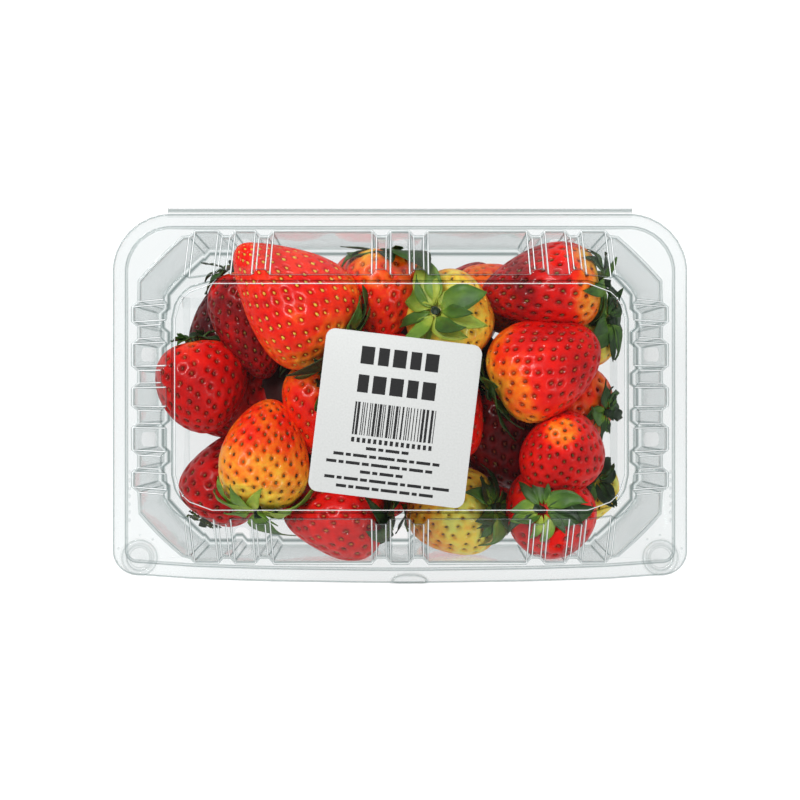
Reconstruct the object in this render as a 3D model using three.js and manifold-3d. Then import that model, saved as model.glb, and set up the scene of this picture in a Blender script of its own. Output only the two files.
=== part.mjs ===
// A hinged clear plastic punnet, closed over a heap of strawberries, with a paper label on its lid.
// Millimetres, +Z up. The origin is the middle of the pack's box on the surface that it stands on,
// +X runs along the long side and +Y points to the hinge.

import * as THREE from 'three';
import { mergeVertices } from 'three/addons/utils/BufferGeometryUtils.js';
import Module from 'manifold-3d';

const wasm = await Module();
wasm.setup();

// Driving dimensions of the pack
const LENGTH = 187; // along X, over the flange
const WIDTH = 123; // along Y, from the hinge bead to the lift tab
const HEIGHT = 87; // top of the lid's panel
const SEAM = 62; // height of the plane between the two flanges
const WALL = 0.8; // thickness of the formed sheet
const GAP = 0.3; // clearance between pieces that touch

// Flange, and the hinge bead behind it
const BEAD_RADIUS = 0.8;
const BEAD_LENGTH = 151;
const RIM_BACK = WIDTH / 2 - 2 * BEAD_RADIUS - GAP;
const RIM_FRONT = 58; // at the front corners
const FRONT_BOW = 2.6; // how much further out the front rim is at its middle

// Half sizes along X and Y of the wall's flat faces and of its narrow ribs, where the wall meets the flange
const FOOT_FACE = [86.8, 54];
const FOOT_RIB = [84.8, 52];

// Lid: a raised panel, a narrow ledge round it and a sloping wall
const PANEL = [71.8, 36.5];
const PANEL_RISE = 0.9;
const PANEL_SLOPE = 0.6;
const LEDGE_FACE = 2;
const LEDGE_RIB = 3.9;
const RIB_KNEE = 0.25; // share of the wall's height where a rib turns upright
const KNEE_INSET = 0.5;

// Tray
const TRAY_DRAFT = 1.2;
const FLOOR_ROUND = 4;

// Along each half side, where face and rib change over, from the middle outwards
const LONG_CHANGES = [3.7, 8.3, 41.8, 46.2, 54.2, 58.2, 67.3];
const SHORT_CHANGES = [3.7, 9.2, 18, 23.6, 30];
const CHANGE_RUN = 1;

// Corners in plan: the walls are cut straight across, the panel and the flange are round
const CORNER_WALL = 15;
const CORNER_PANEL = 12.5;
const CORNER_RIM_BACK = 19;
const CORNER_RIM_FRONT = 8;
const CORNER_POINTS = 5;
const CORNER_EASE = THREE.MathUtils.degToRad(4);
const LEG_SHRINK = 2 - Math.SQRT2; // mm that a straight corner's leg loses for each mm further in

// Vents, snap buttons and lift tab of the lid
const VENT_WIDTH = 4.6;
const VENTS_LONG = [-50.2, 0, 50.2];
const VENTS_SHORT = [-13.6, 13.6];
const VENT_LONG_Z = [67, 82];
const VENT_SHORT_Z = [68.5, 80];
const BUTTON_AT = [84.6, -52.2];
const BUTTON_RADIUS = [5.6, 4.9];
const BUTTON_TOP = 65.4;
const KNOB_RADIUS = [4.4, 3.7];
const TAB_HALF = 6.7;
const TAB_DEPTH = 5.4;
const TAB_RISE = 0.8;

// Label on the panel
const LABEL_SIZE = [49.5, 51.7];
const LABEL_AT = [-1.5, -6.7];
const LABEL_TURN = -6.9;
const LABEL_CORNER = 3;
const LABEL_THICK = 0.3;

// Berries: number of sides and rings of each skin, and how uneven it is
const BERRY_SIDES = 8;
const BERRY_RINGS = 5;
const UNEVEN = 0.05;
const CORE_AT = [-3, 0, 24];
const CORE_HALF = [54, 34, 22];
const SEPALS = 5;
const SEPAL_THICK = 0.9;

// One row for each berry: x, y, z of its middle, length, width, depth, how conical it is,
// the way its tip points (degrees round from +X, then degrees up), and whether its leaves show.
const BERRIES = [
  [-36, 32.5, 61, 47, 31.5, 28, 0.5, 136, -4, 0],
  [-52.5, 24.5, 42, 38, 25, 25, 0.3, -73, -4, 0],
  [-58, 21.5, 22, 30, 26, 26, 0.3, 100, 5, 0],
  [-66, 3.5, 43, 31, 28.5, 28, 0.2, -80, 8, 1],
  [-60.5, -27, 18, 34, 29, 28, 0.36, 60, 4, 0],
  [-44.5, -18.5, 51, 37, 27, 27, 0.42, 84, -4, 1],
  [-25.5, -4, 45, 32, 26, 26, 0.3, -92, 0, 0],
  [-21.5, -38.5, 44, 34, 25, 25, 0.34, 176, 0, 1],
  [17, -38.5, 44, 31, 26, 26, 0.3, 184, -4, 1],
  [50, -37.8, 45, 33, 29, 28, 0.28, -27, -70, 1],
  [53, -17.5, 56, 30, 26.5, 26.5, 0.25, 100, 62, 0],
  [47.5, 10, 58, 38, 31, 29, 0.25, 28, 4, 1],
  [46.5, 35.6, 52, 40, 28.5, 28, 0.38, 188, -3, 1],
  [57, 23.5, 36, 30, 26, 26, 0.3, 195, -12, 1],
  [55.5, -1.5, 34, 32, 26, 26, 0.3, 140, -14, 0],
  [-6.5, 33, 50, 33, 25, 25, 0.32, -94, 3, 1],
  [18, 25.5, 51, 33, 28, 28, 0.28, -20, -66, 1],
  [32, 34.5, 32, 27, 22, 22, 0.3, 150, 0, 0],
  [34, -14, 36, 34, 28, 27, 0.3, -70, 0, 0],
  [-6, 8, 53, 35, 28, 27, 0.3, 20, 0, 0],
  [14.5, -5, 51, 33, 28, 28, 0.3, -60, 0, 0],
  [-10, -18, 51, 35, 27, 27, 0.3, 200, 0, 0],
  [61.5, -31, 30, 28, 25, 24, 0.28, 214, -59, 1],
  [-59, -1, 15.5, 31, 27, 27, 0.3, 200, 0, 0],
  [-36, 31, 16.5, 36, 28, 28, 0.3, 80, 0, 0],
  [-33, -30, 17, 35, 28, 28, 0.3, 165, 0, 0],
  [-7, 36, 16, 33, 28, 27, 0.3, 10, 0, 0],
  [-6, -24, 16.5, 35, 29, 28, 0.36, -80, 0, 0],
  [22, 31, 16, 33, 27, 27, 0.3, 60, 0, 0],
  [20, -34, 16, 35, 28, 27, 0.3, 10, 0, 0],
  [51, 32, 16.5, 34, 28, 28, 0.36, -15, 0, 0],
  [46, -26, 15.5, 33, 27, 26, 0.3, -100, 0, 0],
];

// A closed solid for joining and cutting, from a geometry whose faces point outwards.
function solid(geometry) {
  const bare = geometry.index ? geometry.toNonIndexed() : geometry.clone();
  bare.deleteAttribute('normal');
  bare.deleteAttribute('uv');
  const merged = mergeVertices(bare, 1e-4);
  const mesh = new wasm.Mesh({
    numProp: 3,
    vertProperties: new Float32Array(merged.attributes.position.array),
    triVerts: new Uint32Array(merged.index.array),
  });
  return new wasm.Manifold(mesh);
}

// The geometry of the largest body of a solid, which fills sealed hollows and drops loose scraps.
function geometryOf(manifold) {
  const bodies = manifold.decompose();
  bodies.sort((a, b) => b.volume() - a.volume());
  const mesh = bodies[0].getMesh();
  const geometry = new THREE.BufferGeometry();
  geometry.setAttribute('position', new THREE.BufferAttribute(mesh.vertProperties, 3));
  geometry.setIndex(new THREE.BufferAttribute(mesh.triVerts, 1));
  return geometry;
}

// A closed skin over rings with the same number of points, ending in a fan at both ends.
// The first ring is seen counter-clockwise from outside.
function loft(rings) {
  const count = rings[0].length;
  const centre = (ring) => ring.reduce((sum, p) => sum.add(p), new THREE.Vector3()).divideScalar(count);
  const points = [...rings.flat(), centre(rings[0]), centre(rings.at(-1))];
  const first = points.length - 2;
  const last = points.length - 1;
  const faces = [];
  for (let i = 0; i < count; i += 1) {
    const next = (i + 1) % count;
    faces.push(first, i, next);
    for (let k = 0; k < rings.length - 1; k += 1) {
      const [a, b] = [k * count + i, k * count + next];
      faces.push(a, a + count, b + count, a, b + count, b);
    }
    const end = (rings.length - 1) * count;
    faces.push(last, end + next, end + i);
  }
  const geometry = new THREE.BufferGeometry().setFromPoints(points);
  geometry.setIndex(faces);
  return geometry;
}

// Stations along one side, each on a flat face (0) or on a rib (1).
function sideStations(changes) {
  const half = changes.flatMap((at, i) => [
    { along: at - CHANGE_RUN / 2, rib: i % 2 },
    { along: at + CHANGE_RUN / 2, rib: (i + 1) % 2 },
  ]);
  const mirrored = half.map(({ along, rib }) => ({ along: -along, rib })).reverse();
  return [...mirrored, ...half];
}

// One ring round the pack. sides holds [out, z] on the face and on the rib of the right, back,
// left and front side; radius holds the corners' radii; bow pushes out the front's middle.
// A station that lies past the start of a corner is drawn in to the corner's arc. A straight
// corner is cut across from one end of its arc to the other.
function ring({ sides, radius, straight, bow }) {
  const points = [];
  const up = new THREE.Vector3(0, 0, 1);
  const cornerRadius = [radius.back, radius.back, radius.front, radius.front];
  const swingAt = (along, half, r) => Math.asin(THREE.MathUtils.clamp((along - half + r) / r, 0, 1));
  sides.forEach((side, k) => {
    const next = sides[(k + 1) % 4];
    const stations = sideStations(k % 2 ? LONG_CHANGES : SHORT_CHANGES);
    const nextEnd = (k % 2 ? SHORT_CHANGES : LONG_CHANGES).at(-1) + CHANGE_RUN / 2;
    const place = (out, along, z) => {
      points.push(new THREE.Vector3(out, along, z).applyAxisAngle(up, (k * Math.PI) / 2));
    };
    for (const { along, rib } of stations) {
      const [out, z] = side[rib];
      const r = cornerRadius[along > 0 ? k : (k + 3) % 4];
      const swing = swingAt(Math.abs(along), next[rib][0], r);
      const bulge = k === 3 ? bow * (1 - (along / (LENGTH / 2)) ** 2) : 0;
      place(out - r * (1 - Math.cos(swing)) + bulge, along, z);
    }
    const [r, out, along] = [cornerRadius[k], side[1][0], next[1][0]];
    const from = swingAt(stations.at(-1).along, along, r) + CORNER_EASE;
    const to = Math.PI / 2 - swingAt(nextEnd, out, r) - CORNER_EASE;
    const arc = (swing) => new THREE.Vector2(Math.cos(swing), Math.sin(swing)).subScalar(1)
      .multiplyScalar(r).add(new THREE.Vector2(out, along));
    for (let i = 0; i < CORNER_POINTS; i += 1) {
      const share = i / (CORNER_POINTS - 1);
      const point = straight ? arc(from).lerp(arc(to), share) : arc(THREE.MathUtils.lerp(from, to, share));
      place(point.x, point.y, (side[1][1] + next[1][1]) / 2);
    }
  });
  return points;
}

// The profile moved by one wall thickness to its right hand, with mitred corners.
function underside(profile) {
  const points = profile.map(([out, z]) => new THREE.Vector2(out, z));
  const normals = points.slice(1).map((p, i) => {
    const run = p.clone().sub(points[i]).normalize();
    return new THREE.Vector2(run.y, -run.x);
  });
  return points.map((p, i) => {
    const before = normals[Math.max(i - 1, 0)];
    const after = normals[Math.min(i, normals.length - 1)];
    const mitre = before.clone().add(after).multiplyScalar(WALL / (1 + before.dot(after)));
    return p.clone().add(mitre).toArray();
  });
}

// A formed shell: its upper surface from the middle out to the rim, and back along its underside.
// levels holds, for each ring, half sizes of face and rib as [x, back, front], z and corner radii.
function shell(levels) {
  const pick = [0, 1, 0, 2];
  const profile = (side, kind) => levels.map(({ z, ...level }) => [level[kind][pick[side]], z]);
  const upper = [0, 1, 2, 3].map((side) => [profile(side, 'face'), profile(side, 'rib')]);
  const lower = upper.map((kinds) => kinds.map(underside));
  const rings = (surface) => levels.map(({ radius, straight = false, bow = 0 }, k) => {
    const shrink = upper[0][0][k][0] - surface[0][0][k][0];
    return ring({
      sides: surface.map((kinds) => kinds.map((line) => line[k])),
      radius: { back: radius.back - shrink, front: radius.front - shrink },
      straight,
      bow,
    });
  });
  return solid(loft([...rings(upper), ...rings(lower).reverse()]));
}

const both = (radius) => ({ back: radius, front: radius });
const grown = ([x, y], by) => [x + by, y + by, y + by];
const same = (half, more) => ({ face: half, rib: half, ...more });

function rimLevel(z) {
  const radius = { back: CORNER_RIM_BACK, front: CORNER_RIM_FRONT };
  return same([LENGTH / 2, RIM_BACK, RIM_FRONT], { z, radius, bow: FRONT_BOW });
}

function trayLevels() {
  const rim = SEAM - GAP / 2;
  const level = (inset, z) => ({
    face: grown(FOOT_FACE, -WALL - inset),
    rib: grown(FOOT_RIB, -WALL - inset),
    z,
    radius: both(CORNER_WALL - LEG_SHRINK * (WALL + inset)),
    straight: true,
  });
  return [
    level(TRAY_DRAFT + 2 * FLOOR_ROUND, WALL),
    level(TRAY_DRAFT + FLOOR_ROUND, WALL),
    level(TRAY_DRAFT, WALL + FLOOR_ROUND),
    level(0, rim),
    rimLevel(rim),
  ];
}

function lidLevels() {
  const rim = SEAM + GAP / 2 + WALL;
  const ledge = HEIGHT - PANEL_RISE;
  const knee = THREE.MathUtils.lerp(rim, ledge, RIB_KNEE);
  const [round, wall] = [both(CORNER_PANEL), both(CORNER_WALL)];
  const faceAtKnee = FOOT_FACE.map((half, i) => THREE.MathUtils.lerp(half, PANEL[i] + LEDGE_FACE, RIB_KNEE));
  return [
    same(grown(PANEL, -PANEL_SLOPE), { z: HEIGHT, radius: round }),
    same(grown(PANEL, 0), { z: ledge, radius: round }),
    { face: grown(PANEL, LEDGE_FACE), rib: grown(PANEL, LEDGE_RIB), z: ledge - 0.2, radius: round },
    { face: grown(faceAtKnee, 0), rib: grown(FOOT_RIB, -KNEE_INSET), z: knee, radius: wall, straight: true },
    { face: grown(FOOT_FACE, 0), rib: grown(FOOT_RIB, 0), z: rim, radius: wall, straight: true },
    rimLevel(rim),
  ];
}

// An upright round peg from one height to another, radii at its foot and at its top.
function peg([foot, top], [x, y], [from, to]) {
  const geometry = new THREE.CylinderGeometry(top, foot, to - from, 14);
  geometry.rotateX(Math.PI / 2).translate(x, y, (from + to) / 2);
  return solid(geometry);
}

// A slot with round ends, cut through the lid's wall at one place of one side.
function ventCutter(side, along, [low, high]) {
  const round = VENT_WIDTH / 2;
  const slot = new THREE.Shape();
  slot.absarc(0, high - round, round, 0, Math.PI);
  slot.absarc(0, low + round, round, Math.PI, 2 * Math.PI);
  const reach = side % 2 ? [PANEL[1], FOOT_FACE[1]] : [PANEL[0], FOOT_FACE[0]];
  const geometry = new THREE.ExtrudeGeometry(slot, {
    depth: reach[1] - reach[0] + 4, bevelEnabled: false, curveSegments: 4,
  });
  geometry.rotateX(Math.PI / 2).rotateZ(Math.PI / 2);
  geometry.translate(reach[0] - 2, along, 0).rotateZ((side * Math.PI) / 2);
  return solid(geometry);
}

const cornerSpots = [[BUTTON_AT[0], BUTTON_AT[1]], [-BUTTON_AT[0], BUTTON_AT[1]]];

function trayGeometry() {
  let tray = shell(trayLevels());
  const foot = SEAM - GAP / 2 - WALL / 2;
  for (const spot of cornerSpots) {
    tray = tray.add(peg(KNOB_RADIUS, spot, [foot, BUTTON_TOP - WALL - GAP]));
  }
  return geometryOf(tray);
}

function lidGeometry() {
  let lid = shell(lidLevels());
  const inFlange = SEAM + GAP / 2 + WALL / 2;
  const hollow = BUTTON_RADIUS.map((r) => r - WALL);
  for (const spot of cornerSpots) {
    lid = lid.add(peg(BUTTON_RADIUS, spot, [inFlange, BUTTON_TOP]));
    lid = lid.subtract(peg(hollow, spot, [inFlange - WALL, BUTTON_TOP - WALL]));
  }
  for (const side of [0, 1, 2, 3]) {
    const long = side % 2;
    for (const along of long ? VENTS_LONG : VENTS_SHORT) {
      lid = lid.subtract(ventCutter(side, along, long ? VENT_LONG_Z : VENT_SHORT_Z));
    }
  }
  const arch = new THREE.Shape();
  arch.absellipse(0, -WIDTH / 2 + TAB_DEPTH, TAB_HALF, TAB_DEPTH, Math.PI, 2 * Math.PI);
  const tab = new THREE.ExtrudeGeometry(arch, {
    depth: WALL / 2 + TAB_RISE, bevelEnabled: false, curveSegments: 10,
  });
  tab.translate(0, 0, inFlange);
  return geometryOf(lid.add(solid(tab)));
}

function beadGeometry() {
  const bead = new THREE.CylinderGeometry(BEAD_RADIUS, BEAD_RADIUS, BEAD_LENGTH, 12);
  return bead.rotateZ(Math.PI / 2);
}

function labelGeometry() {
  const [x, y] = LABEL_SIZE.map((size) => size / 2 - LABEL_CORNER);
  const shape = new THREE.Shape();
  shape.absarc(x, y, LABEL_CORNER, 0, Math.PI / 2);
  shape.absarc(-x, y, LABEL_CORNER, Math.PI / 2, Math.PI);
  shape.absarc(-x, -y, LABEL_CORNER, Math.PI, 1.5 * Math.PI);
  shape.absarc(x, -y, LABEL_CORNER, 1.5 * Math.PI, 2 * Math.PI);
  return new THREE.ExtrudeGeometry(shape, { depth: LABEL_THICK, bevelEnabled: false, curveSegments: 5 });
}

// A berry's row, with the turn that points its own +X, its tip, the way the row says.
function readBerry(row, index) {
  const [x, y, z, length, width, depth, taper, round, up, leafy] = row;
  const aim = new THREE.Euler(0, -THREE.MathUtils.degToRad(up), THREE.MathUtils.degToRad(round), 'ZYX');
  const frame = new THREE.Matrix4().makeRotationFromEuler(aim).setPosition(x, y, z);
  return { length, width, depth, taper, leafy, frame, phase: index * 2.4 };
}

// A point of a berry's skin: swing goes from 0 at the stem to PI at the tip, turn goes round it.
function skinPoint({ length, width, depth, taper, phase }, swing, turn, lift = 0) {
  const lumps = Math.cos(2 * turn + phase) + 0.6 * Math.cos(3 * turn - 2 * phase + 2 * swing);
  const reach = Math.sin(swing) * (1 + taper * Math.cos(swing)) * (1 + UNEVEN * lumps * Math.sin(swing));
  return new THREE.Vector3(
    (-Math.cos(swing) * length) / 2,
    Math.cos(turn) * (reach * width / 2 + lift),
    Math.sin(turn) * (reach * depth / 2 + lift),
  );
}

function berryGeometry(berry) {
  const rings = [];
  for (let k = 1; k <= BERRY_RINGS; k += 1) {
    const swing = (k * Math.PI) / (BERRY_RINGS + 1);
    const row = [];
    for (let i = 0; i < BERRY_SIDES; i += 1) {
      row.push(skinPoint(berry, swing, (-i * 2 * Math.PI) / BERRY_SIDES));
    }
    rings.push(row);
  }
  return loft(rings).applyMatrix4(berry.frame);
}

// The leaves at a berry's stem: a pointed star that hugs the shoulder, both faces split alike.
function starGeometry(berry) {
  const rows = [-1, 1].map((face) => {
    const outline = [];
    for (let i = 0; i < 2 * SEPALS; i += 1) {
      const turn = (-i * Math.PI) / SEPALS;
      const swing = i % 2 ? 0.36 : 1.05 + 0.12 * Math.cos(i * 1.7 + berry.phase);
      const point = skinPoint(berry, swing, turn, face > 0 ? -0.4 : SEPAL_THICK);
      point.x -= face > 0 ? -0.6 : SEPAL_THICK;
      outline.push(point);
    }
    return outline;
  });
  return loft(rows).applyMatrix4(berry.frame);
}

function heapGeometry() {
  const core = new THREE.IcosahedronGeometry(1, 1);
  core.scale(...CORE_HALF).translate(...CORE_AT);
  let heap = solid(core);
  BERRIES.map(readBerry).forEach((berry) => {
    heap = heap.add(solid(berryGeometry(berry)));
    if (berry.leafy) {
      heap = heap.add(solid(starGeometry(berry)));
    }
  });
  return geometryOf(heap);
}

const clearSheet = new THREE.MeshStandardMaterial({
  color: 0xdde7ea, roughness: 0.08, metalness: 0, transparent: true, opacity: 0.3,
});
const whitePaper = new THREE.MeshStandardMaterial({ color: 0xf4f5f4, roughness: 0.5, metalness: 0 });
const ripeSkin = new THREE.MeshStandardMaterial({ color: 0xc3202a, roughness: 0.35, metalness: 0 });

function piece(name, geometry, material) {
  const mesh = new THREE.Mesh(geometry, material);
  mesh.name = name;
  return mesh;
}

const tray = piece('tray', trayGeometry(), clearSheet);
const berries = piece('berries', heapGeometry(), ripeSkin);

const hinge = piece('hinge', beadGeometry(), clearSheet);
hinge.position.set(0, WIDTH / 2 - BEAD_RADIUS, SEAM);

const lid = piece('lid', lidGeometry(), clearSheet);

const label = piece('label', labelGeometry(), whitePaper);
label.position.set(LABEL_AT[0], LABEL_AT[1], HEIGHT + GAP);
label.rotation.z = THREE.MathUtils.degToRad(LABEL_TURN);

const punnet = new THREE.Group();
const base = new THREE.Group().add(tray, berries, hinge);
const cover = new THREE.Group().add(lid, label);
punnet.add(base, cover);

export default punnet;
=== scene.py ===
# %% [markdown]
# A punnet of strawberries, seen from straight above. The pack is one sheet of clear plastic, formed
# over a mould into a tray and a lid that fold together along a hinge. The pieces are made in the order
# in which the real ones come together: the fruit first, then the clear pack round it, then the label.
# The frame below holds the plain solids that the punnet is built round, in metres, with +Z up and +Y
# towards the hinge.

# %% Load the frame
import math
import random

import bpy
import numpy as np
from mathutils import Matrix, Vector
from mathutils.kdtree import KDTree


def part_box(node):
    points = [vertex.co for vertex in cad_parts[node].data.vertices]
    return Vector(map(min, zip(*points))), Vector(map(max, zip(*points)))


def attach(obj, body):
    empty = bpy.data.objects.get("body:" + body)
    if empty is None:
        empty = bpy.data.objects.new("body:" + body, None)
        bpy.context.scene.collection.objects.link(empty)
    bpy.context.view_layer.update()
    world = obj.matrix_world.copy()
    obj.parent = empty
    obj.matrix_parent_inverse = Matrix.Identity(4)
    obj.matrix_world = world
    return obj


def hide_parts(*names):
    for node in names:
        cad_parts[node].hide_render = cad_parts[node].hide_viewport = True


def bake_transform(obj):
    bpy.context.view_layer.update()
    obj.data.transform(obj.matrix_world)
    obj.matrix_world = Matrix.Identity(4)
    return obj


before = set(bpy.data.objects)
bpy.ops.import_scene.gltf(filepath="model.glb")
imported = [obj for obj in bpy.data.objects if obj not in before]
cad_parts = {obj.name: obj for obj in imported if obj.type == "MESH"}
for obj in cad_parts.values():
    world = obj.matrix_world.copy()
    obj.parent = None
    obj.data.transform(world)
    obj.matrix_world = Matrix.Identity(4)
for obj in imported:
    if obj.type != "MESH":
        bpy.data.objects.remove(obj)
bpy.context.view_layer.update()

MM = 0.001
TAU = 2 * math.pi
tray_low, tray_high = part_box("tray")
lid_low, lid_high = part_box("lid")
label_low, label_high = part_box("label")
hinge_low, hinge_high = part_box("hinge")


# %% [markdown]
# Everything is worked out in millimetres and put into the scene in metres. A new mesh starts from its
# points and faces; each one is then selected alone, because an operator acts on all that is selected.

# %% Small helpers
def only(obj):
    """Selects obj alone and makes it active."""
    bpy.ops.object.select_all(action="DESELECT")
    obj.select_set(True)
    bpy.context.view_layer.objects.active = obj
    return obj


def mesh_object(name, points_mm, faces):
    """A mesh object at the origin from points in millimetres."""
    mesh = bpy.data.meshes.new(name)
    mesh.from_pydata((np.asarray(points_mm) * MM).tolist(), [], faces)
    mesh.update()
    obj = bpy.data.objects.new(name, mesh)
    bpy.context.collection.objects.link(obj)
    return only(obj)


def apply_modifier(obj, kind, **settings):
    """Adds a modifier with its settings and applies it."""
    only(obj)
    modifier = obj.modifiers.new(kind.lower(), kind)
    for key, value in settings.items():
        setattr(modifier, key, value)
    bpy.ops.object.modifier_apply(modifier=modifier.name)


def smooth(obj, angle=None):
    """Shades obj smooth, with sharp edges past an angle in degrees where one is given."""
    only(obj)
    if angle is None:
        bpy.ops.object.shade_smooth()
    else:
        bpy.ops.object.shade_smooth_by_angle(angle=math.radians(angle))


def join(objects, name):
    """Joins several mesh objects into one."""
    only(objects[0])
    for other in objects[1:]:
        other.select_set(True)
    bpy.ops.object.join()
    objects[0].name = objects[0].data.name = name
    return objects[0]


def settle(obj):
    """Applies place, turn and scale, so that the object sits at the origin."""
    only(obj)
    bpy.ops.object.transform_apply(location=True, rotation=True, scale=True)
    return obj


def face_outwards(obj):
    """Turns all of a mesh's faces outwards."""
    only(obj)
    bpy.ops.object.mode_set(mode="EDIT")
    bpy.ops.mesh.select_all(action="SELECT")
    bpy.ops.mesh.normals_make_consistent(inside=False)
    bpy.ops.object.mode_set(mode="OBJECT")


def set_value(obj, name, values):
    """Gives each point of a mesh a number, for a material to read."""
    attribute = obj.data.attributes.new(name, "FLOAT", "POINT")
    attribute.data.foreach_set("value", np.asarray(values, np.float32))


def taken_apart(obj):
    """Removes an object and returns its points, in its own units, and its faces."""
    points = np.array([v.co[:] for v in obj.data.vertices])
    faces = [tuple(p.vertices) for p in obj.data.polygons]
    bpy.data.objects.remove(obj, do_unlink=True)
    return points, faces


def triangles(*objects):
    return sum(len(p.vertices) - 2 for obj in objects for p in obj.data.polygons)


# %% [markdown]
# Colours are written as they look on a screen and turned to linear light once, here. One function
# adds every shader node, with its settings, its links and, for a colour ramp, its stops.

# %% Material helpers
def linear(hex_colour):
    """The linear RGBA of an sRGB hex colour such as c81e1e."""
    parts = [int(hex_colour[i:i + 2], 16) / 255 for i in (0, 2, 4)]
    return (*[c / 12.92 if c <= 0.04045 else ((c + 0.055) / 1.055) ** 2.4 for c in parts], 1)


def new_material(name, *objects):
    """A material without nodes as yet, given to the objects."""
    material = bpy.data.materials.new(name)
    material.use_nodes = True
    material.node_tree.nodes.clear()
    for obj in objects:
        obj.data.materials.append(material)
    return material


def add(material, kind, links=None, values=None, stops=(), **settings):
    """Adds one node: links from other nodes' outputs, values on its sockets, settings on the node."""
    node = material.node_tree.nodes.new("ShaderNode" + kind)
    for key, value in settings.items():
        setattr(node, key, value)
    for key, value in (values or {}).items():
        node.inputs[key].default_value = value
    for key, source in (links or {}).items():
        material.node_tree.links.new(source, node.inputs[key])
    for _ in stops[2:]:
        node.color_ramp.elements.new(0.5)
    for i, (position, hex_colour) in enumerate(stops):
        node.color_ramp.elements[i].position = position
        node.color_ramp.elements[i].color = linear(hex_colour)
    return node


# %% [markdown]
# The camera hangs over the middle of the pack and looks straight down, as in the photo. 575 pixels
# cover the 187 mm of the flange, which lies 0.8 m below a lens of 110.7 mm.

# %% Camera
PHOTO = 800
FLANGE_PIXELS = 575
SEAM = (hinge_low.z + hinge_high.z) / 2
CAMERA_OVER_FLANGE = 0.8
CAMERA_Y = -1 * MM
SENSOR_WIDTH = 36
NEAREST = 0.05
lid_length = lid_high.x - lid_low.x

camera_data = bpy.data.cameras.new("camera")
camera_data.sensor_width = SENSOR_WIDTH
camera_data.lens = SENSOR_WIDTH * CAMERA_OVER_FLANGE / (lid_length * PHOTO / FLANGE_PIXELS)
camera_data.clip_start = NEAREST
camera = bpy.data.objects.new("camera", camera_data)
bpy.context.collection.objects.link(camera)
camera.location = (0, CAMERA_Y, SEAM + CAMERA_OVER_FLANGE)
bpy.context.scene.camera = camera
print("lens", round(camera_data.lens, 1), "mm")


# %% [markdown]
# The floor is a plain white sheet, wider than any view. It glows, as on a light table, which is how
# clear packs are photographed: the floor stays white and the sheet shows by its lines. The rest is a
# white room and two soft boxes, one to the upper left and a weaker one opposite. What is mirrored in
# the gloss is a dimmer room and floor, as in a studio with dark walls behind the light tent. Clear
# sheet lies many layers deep here, so light may pass through more of them than it usually would.

# %% Floor and light
FLOOR_SIZE = 8
FLOOR_GLOW = 0.93
FLOOR_MIRRORED = 0.6
ROOM_LIGHT = 0.9
ROOM_MIRRORED = 0.22
KEY_BOX = {"place": (-0.55, 0.65, 1.2), "side": 0.5, "watts": 15}
FILL_BOX = {"place": (0.9, -0.5, 1.1), "side": 0.45, "watts": 5}
SHEET_LAYERS = 40


def soft_box(name, place, side, watts):
    """A square soft box that faces the pack, in metres."""
    data = bpy.data.lights.new(name, "AREA")
    data.shape = "SQUARE"
    data.size = side
    data.energy = watts
    light = bpy.data.objects.new(name, data)
    bpy.context.collection.objects.link(light)
    light.location = place
    light.rotation_euler = (-Vector(place)).to_track_quat("-Z", "Y").to_euler()


bpy.ops.object.select_all(action="DESELECT")
bpy.ops.mesh.primitive_plane_add(size=FLOOR_SIZE, location=(0, 0, 0))
floor = bpy.context.object
floor.name = "floor"
white_floor = new_material("white studio sheet, matt", floor)
lit = add(white_floor, "BsdfDiffuse", values={"Color": linear("828282")}).outputs[0]
glow = add(white_floor, "Emission", values={"Strength": FLOOR_GLOW}).outputs[0]
both = add(white_floor, "AddShader", {0: lit, 1: glow}).outputs[0]
dim = add(white_floor, "Emission", values={"Strength": FLOOR_MIRRORED}).outputs[0]
mirror_ray = add(white_floor, "LightPath").outputs["Is Glossy Ray"]
seen = add(white_floor, "MixShader", {"Fac": mirror_ray, 1: both, 2: dim}).outputs[0]
add(white_floor, "OutputMaterial", {"Surface": seen})

soft_box("key_box", **KEY_BOX)
soft_box("fill_box", **FILL_BOX)
world = bpy.data.worlds.new("studio")
bpy.context.scene.world = world
world.use_nodes = True
world.node_tree.nodes.clear()
mirror_ray = add(world, "LightPath").outputs["Is Glossy Ray"]
room = add(world, "MapRange", {"Value": mirror_ray},
           {"To Min": ROOM_LIGHT, "To Max": ROOM_MIRRORED}).outputs[0]
background = add(world, "Background", {"Strength": room}, {"Color": linear("f6f8fa")}).outputs[0]
add(world, "OutputWorld", {"Surface": background})
bpy.context.scene.cycles.transparent_max_bounces = SHEET_LAYERS
bpy.context.scene.view_settings.view_transform = "Standard"
print("floor and lights are set")


# %% [markdown]
# Each berry has a row for its shape: where its middle lies, its length and its two widths, how conical
# it is, and where its tip points, in degrees round from +X and up. The first 23 rows show from above,
# the rest are the layer below. A second row gives its looks. Ripeness runs from 0, pale green, over
# orange and red to 1.4, dark wine red: first that of the body, then that at the stem and how far along
# the berry the stem's colour reaches, then how much less ripe a spot at the tip is and how much riper
# the upper side. After these come the seeds' tone, the leaves' length and their lightness.

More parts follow.
